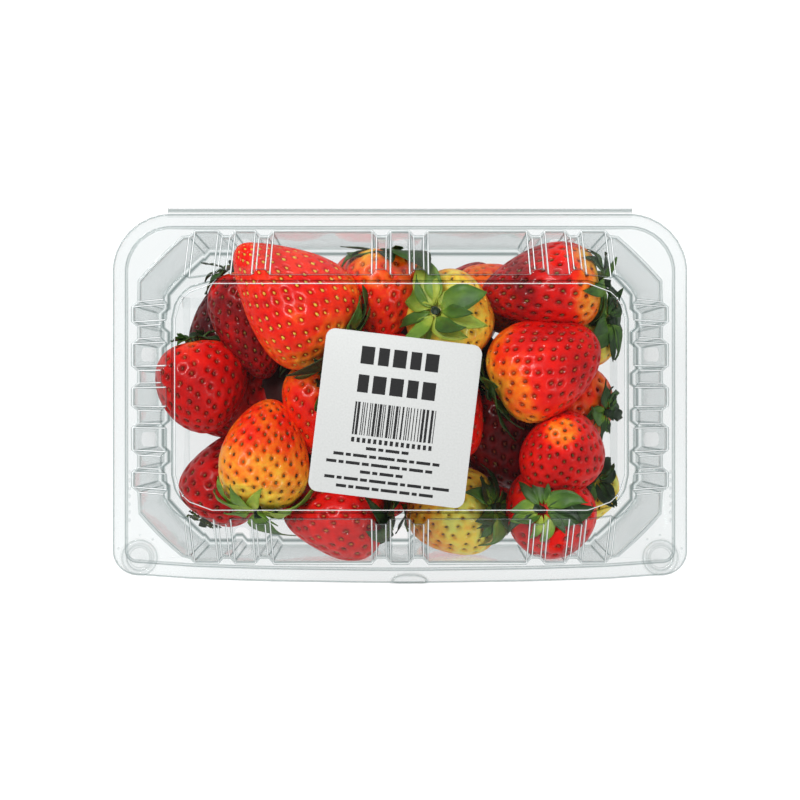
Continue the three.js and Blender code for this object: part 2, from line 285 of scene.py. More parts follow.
# %% The berries
SHAPES = [
    (-36, 32.5, 61, 47, 31.5, 28, 0.5, 136, -4),
    (-50, 24.5, 42, 38, 23, 25, 0.3, -73, -4),
    (-58.4, 23, 22, 30, 26, 26, 0.3, 100, 5),
    (-66, 3.5, 43, 31, 28.5, 28, 0.2, -80, 8),
    (-59, -27, 18, 34, 28, 28, 0.36, 60, 4),
    (-44.5, -19, 51, 37, 27, 27, 0.28, 82, -14),
    (-25.5, -4, 45, 32, 26, 26, 0.3, -92, 0),
    (-21.5, -40, 44, 34, 26, 25, 0.34, 176, 0),
    (17, -38.6, 44, 33, 26.5, 26, 0.28, 190, -34),
    (50.6, -38.8, 45, 33, 29, 28, 0.28, -27, -74),
    (53, -17.5, 56, 30, 26.5, 26.5, 0.25, 100, 62),
    (47.5, 10, 58, 38, 31, 29, 0.25, 28, 4),
    (46.5, 35.6, 52, 40, 28.5, 28, 0.38, 188, -3),
    (57.5, 22.5, 36, 30, 26, 26, 0.3, 195, -38),
    (55.5, -1.5, 34, 32, 26, 26, 0.3, 165, -34),
    (-6.5, 33, 50, 33, 25, 25, 0.32, -94, 3),
    (18, 25.5, 51, 33, 28, 28, 0.28, -20, -66),
    (32, 34.5, 32, 27, 22, 22, 0.3, 150, 0),
    (34, -14, 36, 34, 28, 27, 0.3, -70, 0),
    (-6, 8, 53, 35, 28, 27, 0.3, 20, 0),
    (14.5, -5, 51, 33, 28, 28, 0.3, -60, 0),
    (-10, -18, 51, 35, 27, 27, 0.3, 200, 0),
    (59, -31.5, 30, 28, 25, 24, 0.28, 214, -59),
    (-59, -1, 15.5, 31, 27, 27, 0.3, 200, 0),
    (-36, 31, 16.5, 36, 28, 28, 0.3, 80, 0),
    (-33, -30, 17, 35, 28, 28, 0.3, 165, 0),
    (-7, 36, 16, 33, 28, 27, 0.3, 10, 0),
    (-6, -24, 16.5, 35, 29, 28, 0.36, -80, 0),
    (22, 31, 16, 33, 27, 27, 0.3, 60, 0),
    (20, -34, 16, 35, 28, 27, 0.3, 10, 0),
    (51, 32, 16.5, 34, 28, 28, 0.36, -15, 0),
    (46, -26, 15.5, 33, 27, 26, 0.3, -100, 0),
    (-36, 1, 17, 36, 30, 29, 0.36, -20, 0),
    (-7, 7, 16.5, 36, 29, 28, 0.3, 120, 0),
    (21, 2, 16.5, 35, 29, 28, 0.3, -130, 0),
    (46, 6, 14.5, 34, 28, 24, 0.3, 85, 0),
]
LOOKS = [
    (0.6, 0.36, 0.5, 0, 0.08, 0.95, 12, 0.5),
    (1.18, 0.35, 0.32, 0, -0.05, 0.3, 8, 0.5),
    (1.4, 1.2, 0.3, 0, 0, 0.1, 6, 0.3),
    (0.94, 0.5, 0.5, 0, -0.05, 0.36, 8, 0.4),
    (0.98, 0.8, 0.4, 0, 0, 0.32, 3.5, 0.4),
    (0.52, 0.12, 0.8, 0, 0.05, 0.1, 16, 0.8),
    (0.6, 0.28, 0.55, 0, 0.05, 0.5, 12, 0.4),
    (0.76, 0.6, 0.3, 0, 0.06, 0.5, 15, 0.5),
    (0.34, 0.04, 0.7, -0.4, -0.12, 0.16, 14, 0.45),
    (0.8, 0.66, 0.3, 0, 0, 0.35, 11.5, 0.6),
    (0.84, 0.84, 0.2, 0.44, 0, 0.12, 9, 0.4),
    (0.86, 0.14, 0.72, 0, 0.06, 0.42, 12, 0.4),
    (1.1, 0.08, 0.66, 0, 0, 0.28, 14, 0.4),
    (0.5, 0.04, 0.8, 0, 0, 0.05, 14, 0.35),
    (0.66, 0.44, 0.5, 0, 0, 0.4, 10, 0.35),
    (0.58, 0.2, 0.55, 0, 0, 0.5, 17, 0.5),
    (0.42, 0.04, 0.8, 0, -0.06, 0.16, 14.5, 0.85),
    (0.46, 0.4, 0.3, 0, 0, 0.55, 9, 0.4),
    (1.25, 0.9, 0.4, 0, 0, 0.3, 13, 0.3),
    (0.8, 0.3, 0.5, 0, 0, 0.5, 13, 0.5),
    (0.7, 0.5, 0.4, 0, 0, 0.5, 13, 0.5),
    (0.75, 0.3, 0.5, 0, 0, 0.4, 13, 0.4),
    (0.28, 0.02, 0.8, 0, 0, 0.16, 10, 0.2),
    (0.95, 0.5, 0.5, 0, 0, 0.3, 9, 0.4),
    (0.9, 0.4, 0.5, 0, 0, 0.5, 9, 0.4),
    (0.85, 0.3, 0.5, 0, 0, 0.5, 10, 0.4),
    (0.8, 0.5, 0.5, 0, 0, 0.6, 10, 0.4),
    (0.7, 0.2, 0.6, 0, 0, 0.5, 9, 0.4),
    (1.1, 0.5, 0.5, 0, 0, 0.3, 9, 0.4),
    (0.8, 0.2, 0.5, 0, 0, 0.5, 10, 0.4),
    (0.95, 0.4, 0.5, 0, 0, 0.4, 10, 0.4),
    (0.9, 0.3, 0.5, 0, 0, 0.4, 9, 0.4),
    (1.0, 0.6, 0.5, 0, 0, 0.4, 9, 0.4),
    (0.9, 0.6, 0.5, 0, 0, 0.4, 9, 0.4),
    (0.9, 0.5, 0.5, 0, 0, 0.5, 9, 0.4),
    (0.8, 0.5, 0.5, 0, 0, 0.5, 9, 0.4),
]
SHAPE_FIELDS = ("x", "y", "z", "length", "width", "depth", "cone", "round", "up")
LOOK_FIELDS = ("ripe", "stem", "reach", "spot", "sun", "seeds", "leaf", "green")
UNEVEN = 0.06
BLUNT = 0.9
PHASE_STEP = 2.4


def read_berry(index, shape, look):
    """A berry's rows as names, with the turn that points its own +X, the tip, the right way."""
    berry = dict(zip(SHAPE_FIELDS, shape)) | dict(zip(LOOK_FIELDS, look)) | {"phase": index * PHASE_STEP}
    about, tilt = math.radians(berry["round"]), math.radians(berry["up"])
    ahead = np.array([math.cos(about) * math.cos(tilt), math.sin(about) * math.cos(tilt), math.sin(tilt)])
    left = np.array([-math.sin(about), math.cos(about), 0])
    berry["axes"] = np.array([ahead, left, np.cross(ahead, left)])
    berry["middle"] = np.array(shape[:3])
    return berry


def skin(berry, swing, turn):
    """Points of a berry's skin: swing goes from 0 at the stem to pi at the tip, turn goes round it."""
    lumps = np.cos(2 * turn + berry["phase"]) + 0.6 * np.cos(3 * turn - 2 * berry["phase"] + 2 * swing)
    reach = np.sin(swing) ** BLUNT * (1 + berry["cone"] * np.cos(swing))
    reach = reach * (1 + UNEVEN * lumps * np.sin(swing))
    own = np.stack([-np.cos(swing) * berry["length"] / 2,
                    np.cos(turn) * reach * berry["width"] / 2,
                    np.sin(turn) * reach * berry["depth"] / 2], axis=-1)
    return own @ berry["axes"] + berry["middle"]


def outward(berry, swing, turn):
    """The skin's outward normals, from two short steps along it."""
    step = 1e-3
    swing = np.clip(swing, 0.03, math.pi - 0.03)
    along = skin(berry, swing + step, turn) - skin(berry, swing - step, turn)
    about = skin(berry, swing, turn + step) - skin(berry, swing, turn - step)
    normal = np.cross(about, along)
    normal /= np.linalg.norm(normal, axis=-1, keepdims=True)
    side = np.sum(normal * (skin(berry, swing, turn) - berry["middle"]), axis=-1, keepdims=True)
    return normal * np.sign(side)


berries = [read_berry(index, *rows) for index, rows in enumerate(zip(SHAPES, LOOKS))]
print(len(berries), "berries")


# %% [markdown]
# A strawberry's skin is puffed up between its seeds, each of which sits in a pit of its own. The seeds
# follow the golden angle, as on many plants. A ball is stretched over one point for each seed, every
# point is bevelled into a small face, and the faces are inset to make the pits' rims and floors. The
# ball is made for small, middling and large berries, and each berry is a copy drawn over its own shape.

# %% The seeded ball
SEED_COUNTS = {"small": 165, "middling": 225, "large": 310}
BEVEL_SHARE = 33
SEED_STRAY = 0.17
PIT_MISS = 0.2
PIT_WALL = 0.12
GOLDEN = math.pi * (3 - math.sqrt(5))


def seed_spacing(count):
    return math.sqrt(4 * math.pi / count)


def golden_sites(count):
    """Swing and turn of seeds spread over a ball, each a little off its place."""
    number = np.arange(count)
    swing = np.arccos(1 - 2 * (number + 0.5) / count)
    turn = (number * GOLDEN) % TAU
    off = np.random.default_rng(count).uniform(-1, 1, (2, count)) * SEED_STRAY * seed_spacing(count)
    return swing + off[0] * np.sin(swing), turn + off[1] / np.maximum(np.sin(swing), 0.4)


def directions(swing, turn):
    return np.stack([-np.cos(swing), np.cos(turn) * np.sin(swing), np.sin(turn) * np.sin(swing)], axis=-1)


def seeded_ball(count):
    """A ball with an inset face at each seed, subdivided once. Radius 1 m."""
    swing, turn = golden_sites(count)
    sites = directions(swing, turn)
    ball = mesh_object(f"ball_{count}", sites / MM, [])
    bpy.ops.object.mode_set(mode="EDIT")
    bpy.ops.mesh.select_mode(type="VERT")
    bpy.ops.mesh.select_all(action="SELECT")
    bpy.ops.mesh.convex_hull(join_triangles=False)
    bpy.ops.mesh.select_all(action="SELECT")
    bpy.ops.mesh.bevel(affect="VERTICES", offset_type="PERCENT", offset_pct=BEVEL_SHARE, segments=1)
    bpy.ops.mesh.select_mode(type="FACE")
    bpy.ops.mesh.select_all(action="DESELECT")
    bpy.ops.object.mode_set(mode="OBJECT")
    tree = KDTree(count)
    for i, site in enumerate(sites):
        tree.insert(site, i)
    tree.balance()
    spacing = seed_spacing(count)
    for face in ball.data.polygons:
        face.select = tree.find(face.center.normalized())[2] < PIT_MISS * spacing
    bpy.ops.object.mode_set(mode="EDIT")
    bpy.ops.mesh.inset(thickness=PIT_WALL * spacing, depth=0, use_individual=True)
    bpy.ops.object.mode_set(mode="OBJECT")
    apply_modifier(ball, "SUBSURF", levels=1, render_levels=1)
    points = np.array([v.co.normalized() for v in ball.data.vertices])
    nearness = np.array([tree.find(p)[2] for p in points]) / spacing
    shape = {
        "swing": np.arccos(np.clip(-points[:, 0], -1, 1)),
        "turn": np.arctan2(points[:, 2], points[:, 1]),
        "near": nearness, "seed_swing": swing, "seed_turn": turn,
        "faces": [tuple(p.vertices) for p in ball.data.polygons],
    }
    print("ball with", count, "seeds:", triangles(ball), "triangles")
    bpy.data.objects.remove(ball, do_unlink=True)
    return shape


balls = {size: seeded_ball(count) for size, count in SEED_COUNTS.items()}


# %% [markdown]
# The copies are drawn over the berries' shapes, with each pit pushed in along the skin's normal. Two
# values go with every point: how ripe the skin is there, and how deep in a pit it lies. Ripeness runs
# from the stem to the tip, in flecks, and differs between the side that the sun reached and the other.
# So that no piece grows too large, the upper layer is kept as a left and a right one and the lower
# layer as berries_floor on the left and berries_below on the right.

# %% Berry flesh
PIT_DEPTH = 0.62
PIT_RIM = 0.37
PIT_FLOOR = 0.1
PUFF = 0.25
SHALLOW_TO = 0.6
SHALLOWEST = 0.2
DIMPLE_DEPTH = 1.4
DIMPLE_REACH = 0.32
RIPE_TOP = 1.5
FLECK_REACH = 0.05
FLECK_TONE = 0.03
SPOT_FROM = 0.76
SPOT_RUN = 0.14
SIZES = ((44, "large"), (36, "middling"), (0, "small"))
BELOW = 29
MIDDLE_ABOVE = 10
MIDDLE_BELOW = 0


def ease(value):
    value = np.clip(value, 0, 1)
    return value * value * (3 - 2 * value)


def pit_share(near):
    """1 on a pit's floor, 0 past its rim."""
    return 1 - ease((near - PIT_FLOOR) / (PIT_RIM - PIT_FLOOR))


def ripeness(berry, swing, turn):
    along = swing / math.pi
    flecks = np.sin(3 * turn + 5 * swing + berry["phase"]) * np.sin(4 * swing - 2 * turn)
    from_stem = ease((along + FLECK_REACH * flecks) / berry["reach"])
    level = berry["stem"] + (berry["ripe"] - berry["stem"]) * from_stem
    level = level - berry["spot"] * ease((along - SPOT_FROM) / SPOT_RUN)
    rise = np.sin(turn) * berry["axes"][2][2] + np.cos(turn) * berry["axes"][1][2]
    return np.clip(level + berry["sun"] * rise * np.sin(swing) + FLECK_TONE * flecks, 0, RIPE_TOP)


def flesh(berry, shape):
    """Points, faces, ripeness and pit depth of one berry."""
    swing, turn = shape["swing"], shape["turn"] + berry["phase"]
    pit = pit_share(shape["near"])
    dimple = np.exp(-(swing / DIMPLE_REACH) ** 2)
    normals = outward(berry, swing, turn)
    depth = PIT_DEPTH * np.clip(swing / SHALLOW_TO, SHALLOWEST, 1)
    lift = PUFF * (1 - pit) - depth * pit - DIMPLE_DEPTH * dimple
    points = skin(berry, swing, turn) + normals * lift[:, None]
    return points, shape["faces"], ripeness(berry, swing, turn), pit


def merged(name, parts, **values):
    """One mesh object from (points, faces) parts, with float values for its points."""
    points = np.concatenate([p for p, _ in parts])
    starts = np.cumsum([0] + [len(p) for p, _ in parts])
    faces = [tuple(i + start for i in f) for (_, fs), start in zip(parts, starts) for f in fs]
    obj = mesh_object(name, points, faces)
    for key, lists in values.items():
        set_value(obj, key, np.concatenate(lists))
    face_outwards(obj)
    smooth(obj)
    return obj


heaps = {"berries_left": [], "berries_right": [], "berries_below": [], "berries_floor": []}
for berry in berries:
    size = next(name for least, name in SIZES if berry["length"] >= least)
    berry["ball"] = balls[size]
    upper = "berries_left" if berry["x"] < MIDDLE_ABOVE else "berries_right"
    lower = "berries_floor" if berry["x"] < MIDDLE_BELOW else "berries_below"
    heaps[lower if berry["z"] < BELOW else upper].append(flesh(berry, berry["ball"]))

fruit = []
for name, heap in heaps.items():
    points, faces, ripe_levels, pit_levels = zip(*heap)
    fruit.append(merged(name, list(zip(points, faces)), ripe=ripe_levels, pit=pit_levels))
for obj in fruit:
    print(obj.name, triangles(obj), "triangles")


# %% [markdown]
# The seeds are small dry nuts, shaped like a flattened drop and laid along the berry. One is made and
# put into every pit, half sunk. A value gives each one's tone, which goes with its berry: straw yellow
# on the brightest, red-brown on dark fruit, olive on pale fruit.

# %% Seeds
SEED_SIZE = (0.8, 0.47, 0.36)
SEED_SUNK = 0.34
SEED_TAPER = 0.3
SEED_GROWTH = (0.78, 1.1)
PALE_SEED = 0.8
PALE_TONE = 0.2
TONE_SPREAD = 0.09
BARE_SHOULDER = 0.4
SEED_STEP = 0.01

bpy.ops.object.select_all(action="DESELECT")
bpy.ops.mesh.primitive_ico_sphere_add(subdivisions=1, radius=1)
nut_points, nut_faces = taken_apart(bpy.context.object)
nut_points[:, 1] *= 1 - SEED_TAPER * nut_points[:, 0]
nut_points *= SEED_SIZE

draw = random.Random(4)
seed_parts, seed_tones = [], []
for berry in berries:
    swing = berry["ball"]["seed_swing"]
    turn = berry["ball"]["seed_turn"] + berry["phase"]
    normals = outward(berry, swing, turn)
    places = skin(berry, swing, turn) - normals * SEED_SUNK
    ahead = skin(berry, swing + SEED_STEP, turn) - skin(berry, swing - SEED_STEP, turn)
    ahead /= np.linalg.norm(ahead, axis=1, keepdims=True)
    across = np.cross(normals, ahead)
    for i in range(len(swing)):
        size = draw.uniform(*SEED_GROWTH) * (PALE_SEED if berry["seeds"] < PALE_TONE else 1)
        tone = berry["seeds"] + draw.uniform(-TONE_SPREAD, TONE_SPREAD)
        if swing[i] < BARE_SHOULDER:
            continue
        frame_of_seed = np.array([ahead[i], across[i], normals[i]])
        seed_parts.append((nut_points @ frame_of_seed * size + places[i], nut_faces))
        seed_tones.append(np.full(len(nut_points), min(max(tone, 0), 1)))
seeds = merged("seeds", seed_parts, tone=seed_tones)
print(len(seed_parts), "seeds,", triangles(seeds), "triangles")


# %% [markdown]
# The leaves at the stem are two whorls of thin pointed sepals, each with a fold along its middle and a
# wavy edge. One flat sepal is shaped from a grid. Copies are laid out from the stem over the berry's
# shoulder and lift off towards their tips, every one by its own amount, and get a thickness at the end.

# %% Sepals
SEPAL_STEPS = 12
SEPAL_COLUMNS = 5
SEPAL_THICK = 0.26
SEPAL_COUNT = 13
SEPAL_STRAY = 0.22
SEPAL_LENGTHS = (0.6, 1.3)
WHORLS = (
    {"length": 1, "width": (0.24, 0.36), "curl": (-0.03, 0.7), "green": 0},
    {"length": 0.85, "width": (0.16, 0.26), "curl": (0.1, 1.1), "green": -0.14},
)
WAVINESS = (0.1, 0.6)
TWISTS = (-0.8, 0.8)
FULLNESS = (0.55, 0.95)
GREENS = (-0.3, 0.24)
BASE_GREEN = 0.3
TIP_GREEN = 0.16
KEEL = 0.42
SEPAL_ROOT = 0.08
SEPAL_LIFT = 0.5
CURL_SHORTENS = 0.5
CURL_LIFTS = 0.75
ROOT_WIDTH = 0.22
WALL_X = tray_high.x / MM - 10.2
WALL_Y = 50.4
LID_LEAN_X = 12
LID_LEAN_Y = 14
LID_TOP = lid_high.z / MM - 2.2
FLOOR_TOP = 1.1
SOFT_FROM = 0.86


def softly_within(value, limit):
    """Presses value back under limit, more gently the earlier it starts to come near."""
    start, spare = SOFT_FROM * limit, (1 - SOFT_FROM) * limit
    past = np.maximum(np.abs(value) - start, 0)
    return np.sign(value) * (np.minimum(np.abs(value), start) + spare * (1 - np.exp(-past / spare)))


def keep_inside(points):
    """Presses points back inside the pack: tray walls, sloping lid walls, lid and floor."""
    height = np.clip((points[:, 2] - SEAM / MM) / (LID_TOP - SEAM / MM), 0, 1)
    points[:, 0] = softly_within(points[:, 0], WALL_X - LID_LEAN_X * height)
    points[:, 1] = softly_within(points[:, 1], WALL_Y - LID_LEAN_Y * height)
    points[:, 2] = np.clip(points[:, 2], FLOOR_TOP, LID_TOP)
    return points


def sepal(berry, about, length, width, curl, wave, twist, fullness):
    """One sepal as a grid of points from the stem outwards."""
    share = np.linspace(0, 1, SEPAL_STEPS)[:, None]
    side = np.linspace(-1, 1, SEPAL_COLUMNS)[None, :]
    girth = (berry["width"] + berry["depth"]) / 4
    swing = SEPAL_ROOT + share * length / girth * (0.95 - CURL_SHORTENS * curl) + 0 * side
    belly = np.sin(math.pi * np.clip(share, 0, 0.999) ** fullness) ** 0.85
    half = width / 2 * (belly + ROOT_WIDTH * (1 - share))
    round_berry = np.maximum(girth * np.sin(np.clip(swing, 0.25, 1.6)), 4)
    turn = about + side * half / round_berry + twist * share ** 1.5
    normals = outward(berry, swing, turn)
    fold = KEEL * np.abs(side) * half
    ripple = wave * np.sin(share * 11 + about * 3 + side * 1.5) * np.abs(side)
    lift = SEPAL_LIFT + curl * share ** 1.4 * length * CURL_LIFTS + fold + ripple
    points = skin(berry, np.clip(swing, 0.05, 2.6), turn) + normals * lift[..., None]
    return keep_inside(points.reshape(-1, 3))


def grid_faces(rows, columns):
    return [(r * columns + c, r * columns + c + 1, (r + 1) * columns + c + 1, (r + 1) * columns + c)
            for r in range(rows - 1) for c in range(columns - 1)]


draw = random.Random(11)
leaf_parts, leaf_green = [], []
sepal_faces = grid_faces(SEPAL_STEPS, SEPAL_COLUMNS)
sepal_share = np.repeat(np.linspace(0, 1, SEPAL_STEPS), SEPAL_COLUMNS)
for berry in berries:
    for j in range(SEPAL_COUNT):
        whorl = WHORLS[j % 2]
        about = berry["phase"] + j * TAU / SEPAL_COUNT + draw.uniform(-SEPAL_STRAY, SEPAL_STRAY)
        length = berry["leaf"] * draw.uniform(*SEPAL_LENGTHS) * whorl["length"]
        width = length * draw.uniform(*whorl["width"])
        curl, wave = draw.uniform(*whorl["curl"]), draw.uniform(*WAVINESS)
        twist, fullness = draw.uniform(*TWISTS), draw.uniform(*FULLNESS)
        leaf_parts.append((sepal(berry, about, length, width, curl, wave, twist, fullness), sepal_faces))
        green = berry["green"] + draw.uniform(*GREENS) + whorl["green"]
        green = green + BASE_GREEN * (1 - sepal_share) ** 3 - TIP_GREEN * sepal_share
        leaf_green.append(np.clip(green, 0, 1))
leaves = merged("leaves", leaf_parts, green=leaf_green)
apply_modifier(leaves, "SOLIDIFY", thickness=SEPAL_THICK * MM, offset=0)
smooth(leaves)
print(len(leaf_parts), "sepals,", triangles(leaves), "triangles")


# %% [markdown]
# Each berry was pinched off its plant with a short end of the stalk. A stub is a small cylinder with a
# bevelled, slightly thicker cut end. It is made once and turned into place on every berry.

# %% Stalk stubs
STUB_RADIUS = 1.1
STUB_LENGTH = 4.5
STUB_SUNK = 1.6
STUB_LEAN = 0.4
CUT_END = 1.3
CUT_RIM = 0.3
CUT_SINK = 0.08

bpy.ops.object.select_all(action="DESELECT")
bpy.ops.mesh.primitive_cylinder_add(vertices=10, radius=1, depth=1, location=(0, 0, 0.5))
stub = bpy.context.object
bpy.ops.object.mode_set(mode="EDIT")
bpy.ops.mesh.select_all(action="DESELECT")
bpy.ops.object.mode_set(mode="OBJECT")
for face in stub.data.polygons:
    face.select = face.normal.z > 0.9
bpy.ops.object.mode_set(mode="EDIT")
bpy.ops.transform.resize(value=(CUT_END, CUT_END, 1))
bpy.ops.mesh.inset(thickness=CUT_RIM, depth=-CUT_SINK)
bpy.ops.object.mode_set(mode="OBJECT")
stub_points, stub_faces = taken_apart(settle(stub))
stub_points *= (STUB_RADIUS, STUB_RADIUS, STUB_LENGTH)

draw = random.Random(23)
stub_parts = []
for berry in berries:
    ahead, side, over = berry["axes"]
    tilt = side * draw.uniform(-STUB_LEAN, STUB_LEAN) + over * draw.uniform(-STUB_LEAN, STUB_LEAN) - ahead
    tilt /= np.linalg.norm(tilt)
    across = np.cross(tilt, side)
    across /= np.linalg.norm(across)
    turned = stub_points @ np.array([across, np.cross(tilt, across), tilt])
    root = berry["middle"] - ahead * (berry["length"] / 2 - STUB_SUNK)
    stub_parts.append((keep_inside(turned + root), stub_faces))
stubs = merged("stalk_stubs", stub_parts)
print(len(stub_parts), "stubs,", triangles(stubs), "triangles")


# %% [markdown]
# Between the berries one looks into deep red shade. A lumpy body in the heart of the heap, coloured
# very dark red as painted shade, stands for that shade and for the fruit that never shows, and keeps
# the floor from shining through the gaps.

# %% Heart of the heap
CORE_HALF = (47, 29, 15)
CORE_MIDDLE = (-2, 0, 27)
CORE_LUMPS = 0.07

bpy.ops.object.select_all(action="DESELECT")
bpy.ops.mesh.primitive_ico_sphere_add(subdivisions=5, radius=1)
core = bpy.context.object
core.name = core.data.name = "heap_core"
core_points = np.array([v.co[:] for v in core.data.vertices])
lumps = np.sin(7 * core_points[:, 0] + 2 * core_points[:, 1]) * np.cos(5 * core_points[:, 1])
lumps = 1 + CORE_LUMPS * lumps
core_points = (core_points * lumps[:, None] * CORE_HALF + CORE_MIDDLE) * MM
core.data.vertices.foreach_set("co", core_points.ravel())
core.data.update()
smooth(core)
print("heart of the heap", triangles(core), "triangles")


# %% [markdown]
# Strawberry skin is wet-looking but soft: a red jelly under a thin wax. The colour follows the
# ripeness of each point through one ramp, from pale green over yellow and orange to wine red, broken
# up by blotches of about 9 mm and a mottling of about 3 mm. The pits are painted darker, as painted
# shade, more so on ripe skin.

# %% Berry skin
BLOTCHES_MM = 9
MOTTLE_MM = 3.0
MOTTLING = 0.42
GRAIN_MM = 0.5

berry_skin = new_material("strawberry skin, moist", *fruit)
coords = add(berry_skin, "TexCoord").outputs["Object"]
ripe = add(berry_skin, "Attribute", attribute_name="ripe").outputs["Fac"]
pit = add(berry_skin, "Attribute", attribute_name="pit").outputs["Fac"]
mottle = add(berry_skin, "TexNoise", {"Vector": coords},
             {"Scale": 1 / (MOTTLE_MM * MM), "Detail": 3, "Roughness": 0.6}).outputs["Fac"]
blotches = add(berry_skin, "TexNoise", {"Vector": coords},
               {"Scale": 1 / (BLOTCHES_MM * MM), "Detail": 2}).outputs["Fac"]
uneven = add(berry_skin, "Math", {0: mottle, 1: blotches}, operation="ADD").outputs[0]
shifted = add(berry_skin, "Math", {0: uneven}, {1: -1.0}, operation="ADD").outputs[0]
spread = add(berry_skin, "Math", {0: shifted, 2: ripe}, {1: MOTTLING}, operation="MULTIPLY_ADD").outputs[0]
scaled = add(berry_skin, "Math", {0: spread}, {1: 1 / RIPE_TOP}, operation="MULTIPLY").outputs[0]
flesh_colour = add(berry_skin, "ValToRGB", {"Fac": scaled}, stops=[
    (0.0, "e2dc64"), (0.07, "f4d24a"), (0.17, "f8a42c"), (0.28, "fa6a10"), (0.38, "f62f08"),
    (0.48, "e81208"), (0.62, "c60b0a"), (0.76, "8a090e"), (0.94, "4c060e"),
]).outputs["Color"]
# Painted shade in the pits: the flesh colour is multiplied darker there, more so on riper skin.
painted_pit_shade = add(berry_skin, "ValToRGB", {"Fac": ripe},
               stops=[(0.1, "f2dcae"), (0.5, "d8906c"), (1.0, "a85e54")]).outputs["Color"]
flesh_with_painted_pit_shade = add(berry_skin, "Mix", {"Factor": pit, 6: flesh_colour, 7: painted_pit_shade},
             data_type="RGBA", blend_type="MULTIPLY").outputs[2]
grain = add(berry_skin, "TexNoise", {"Vector": coords},
            {"Scale": 1 / (GRAIN_MM * MM), "Detail": 2}).outputs["Fac"]
skin_bump = add(berry_skin, "Bump", {"Height": grain},
                {"Strength": 0.12, "Distance": 0.1 * MM}).outputs[0]
skin_shader = add(berry_skin, "BsdfPrincipled", {"Base Color": flesh_with_painted_pit_shade, "Normal": skin_bump}, {
    "Roughness": 0.34, "IOR": 1.4, "Specular IOR Level": 0.25, "Subsurface Weight": 0.1,
    "Subsurface Scale": 1.2 * MM, "Subsurface Radius": (1.0, 0.25, 0.12), "Coat Weight": 0.28,
    "Coat Roughness": 0.1,
})
add(berry_skin, "OutputMaterial", {"Surface": skin_shader.outputs[0]})


# %% [markdown]
# The heart of the heap is painted shade: the fruit coloured very dark red, as it looks in deep shade, with
# soft patches about 12 mm across.

# %% Fruit in painted shade
PATCH_MM = 12

painted_shade_fruit = new_material("strawberry flesh, painted shade", core)
coords = add(painted_shade_fruit, "TexCoord").outputs["Object"]
patches = add(painted_shade_fruit, "TexNoise", {"Vector": coords},
              {"Scale": 1 / (PATCH_MM * MM), "Detail": 2}).outputs["Fac"]
painted_shade_colour = add(painted_shade_fruit, "ValToRGB", {"Fac": patches},
                   stops=[(0.35, "120303"), (0.5, "260605"), (0.7, "3e0d08")]).outputs["Color"]
painted_shade_shader = add(painted_shade_fruit, "BsdfPrincipled", {"Base Color": painted_shade_colour}, {"Roughness": 0.5})
add(painted_shade_fruit, "OutputMaterial", {"Surface": painted_shade_shader.outputs[0]})


# %% [markdown]
# Seeds are dry and slightly glossy. The ramp runs from nearly black brown over olive and red-brown to
# straw yellow.

# %% Seed coat
seed_coat = new_material("strawberry seed, dry", seeds)
tone = add(seed_coat, "Attribute", attribute_name="tone").outputs["Fac"]
seed_colour = add(seed_coat, "ValToRGB", {"Fac": tone}, stops=[
    (0.0, "3c2410"), (0.17, "7c6a26"), (0.34, "7e2412"), (0.5, "b45a1c"), (0.75, "dca234"), (1.0, "ecc842"),
]).outputs["Color"]
seed_shader = add(seed_coat, "BsdfPrincipled", {"Base Color": seed_colour}, {"Roughness": 0.4})
add(seed_coat, "OutputMaterial", {"Surface": seed_shader.outputs[0]})


# %% [markdown]
# The sepals are matt green leaf, from dark bottle green to a fresh light green near the stem, with
# veins and blotches a few millimetres apart. The stubs are the same leaf green.

# %% Leaf
BLOTCH_MM = 4
VEIN_MM = 1.1

leaf = new_material("sepal, matt leaf", leaves, stubs)
coords = add(leaf, "TexCoord").outputs["Object"]
green = add(leaf, "Attribute", attribute_name="green").outputs["Fac"]
blotch = add(leaf, "TexNoise", {"Vector": coords},
             {"Scale": 1 / (BLOTCH_MM * MM), "Detail": 3}).outputs["Fac"]
patchy = add(leaf, "Math", {0: blotch}, {1: -0.5}, operation="ADD").outputs[0]
lightness = add(leaf, "Math", {0: patchy, 2: green}, {1: 0.5}, operation="MULTIPLY_ADD").outputs[0]
leaf_colour = add(leaf, "ValToRGB", {"Fac": lightness}, stops=[
    (0.0, "1a3010"), (0.25, "2b4a15"), (0.5, "466d1c"), (0.75, "729428"), (1.0, "b2be40"),
]).outputs["Color"]
veins = add(leaf, "TexVoronoi", {"Vector": coords}, {"Scale": 1 / (VEIN_MM * MM)},
            feature="DISTANCE_TO_EDGE").outputs["Distance"]
leaf_bump = add(leaf, "Bump", {"Height": veins}, {"Strength": 0.3, "Distance": 0.15 * MM}).outputs[0]
leaf_shader = add(leaf, "BsdfPrincipled", {"Base Color": leaf_colour, "Normal": leaf_bump}, {
    "Roughness": 0.5, "Subsurface Weight": 0.1, "Subsurface Scale": 1 * MM,
    "Subsurface Radius": (0.5, 1.0, 0.2),
})
add(leaf, "OutputMaterial", {"Surface": leaf_shader.outputs[0]})


# %% [markdown]
# The tray and the lid are drawn over a mould with flutes, which make thin sheet stiff. Seen from above
# each ring round the pack is a rectangle with cut or rounded corners, whose sides step between broad
# flat faces and narrow ribs. A table of such rings, from the middle out to the rim, is skinned with
# faces, and every bend gets the small radius that a vacuum leaves. A value called fold marks the bends,
# since that is where clear sheet bends the light most. It then gets the thickness of real sheet.

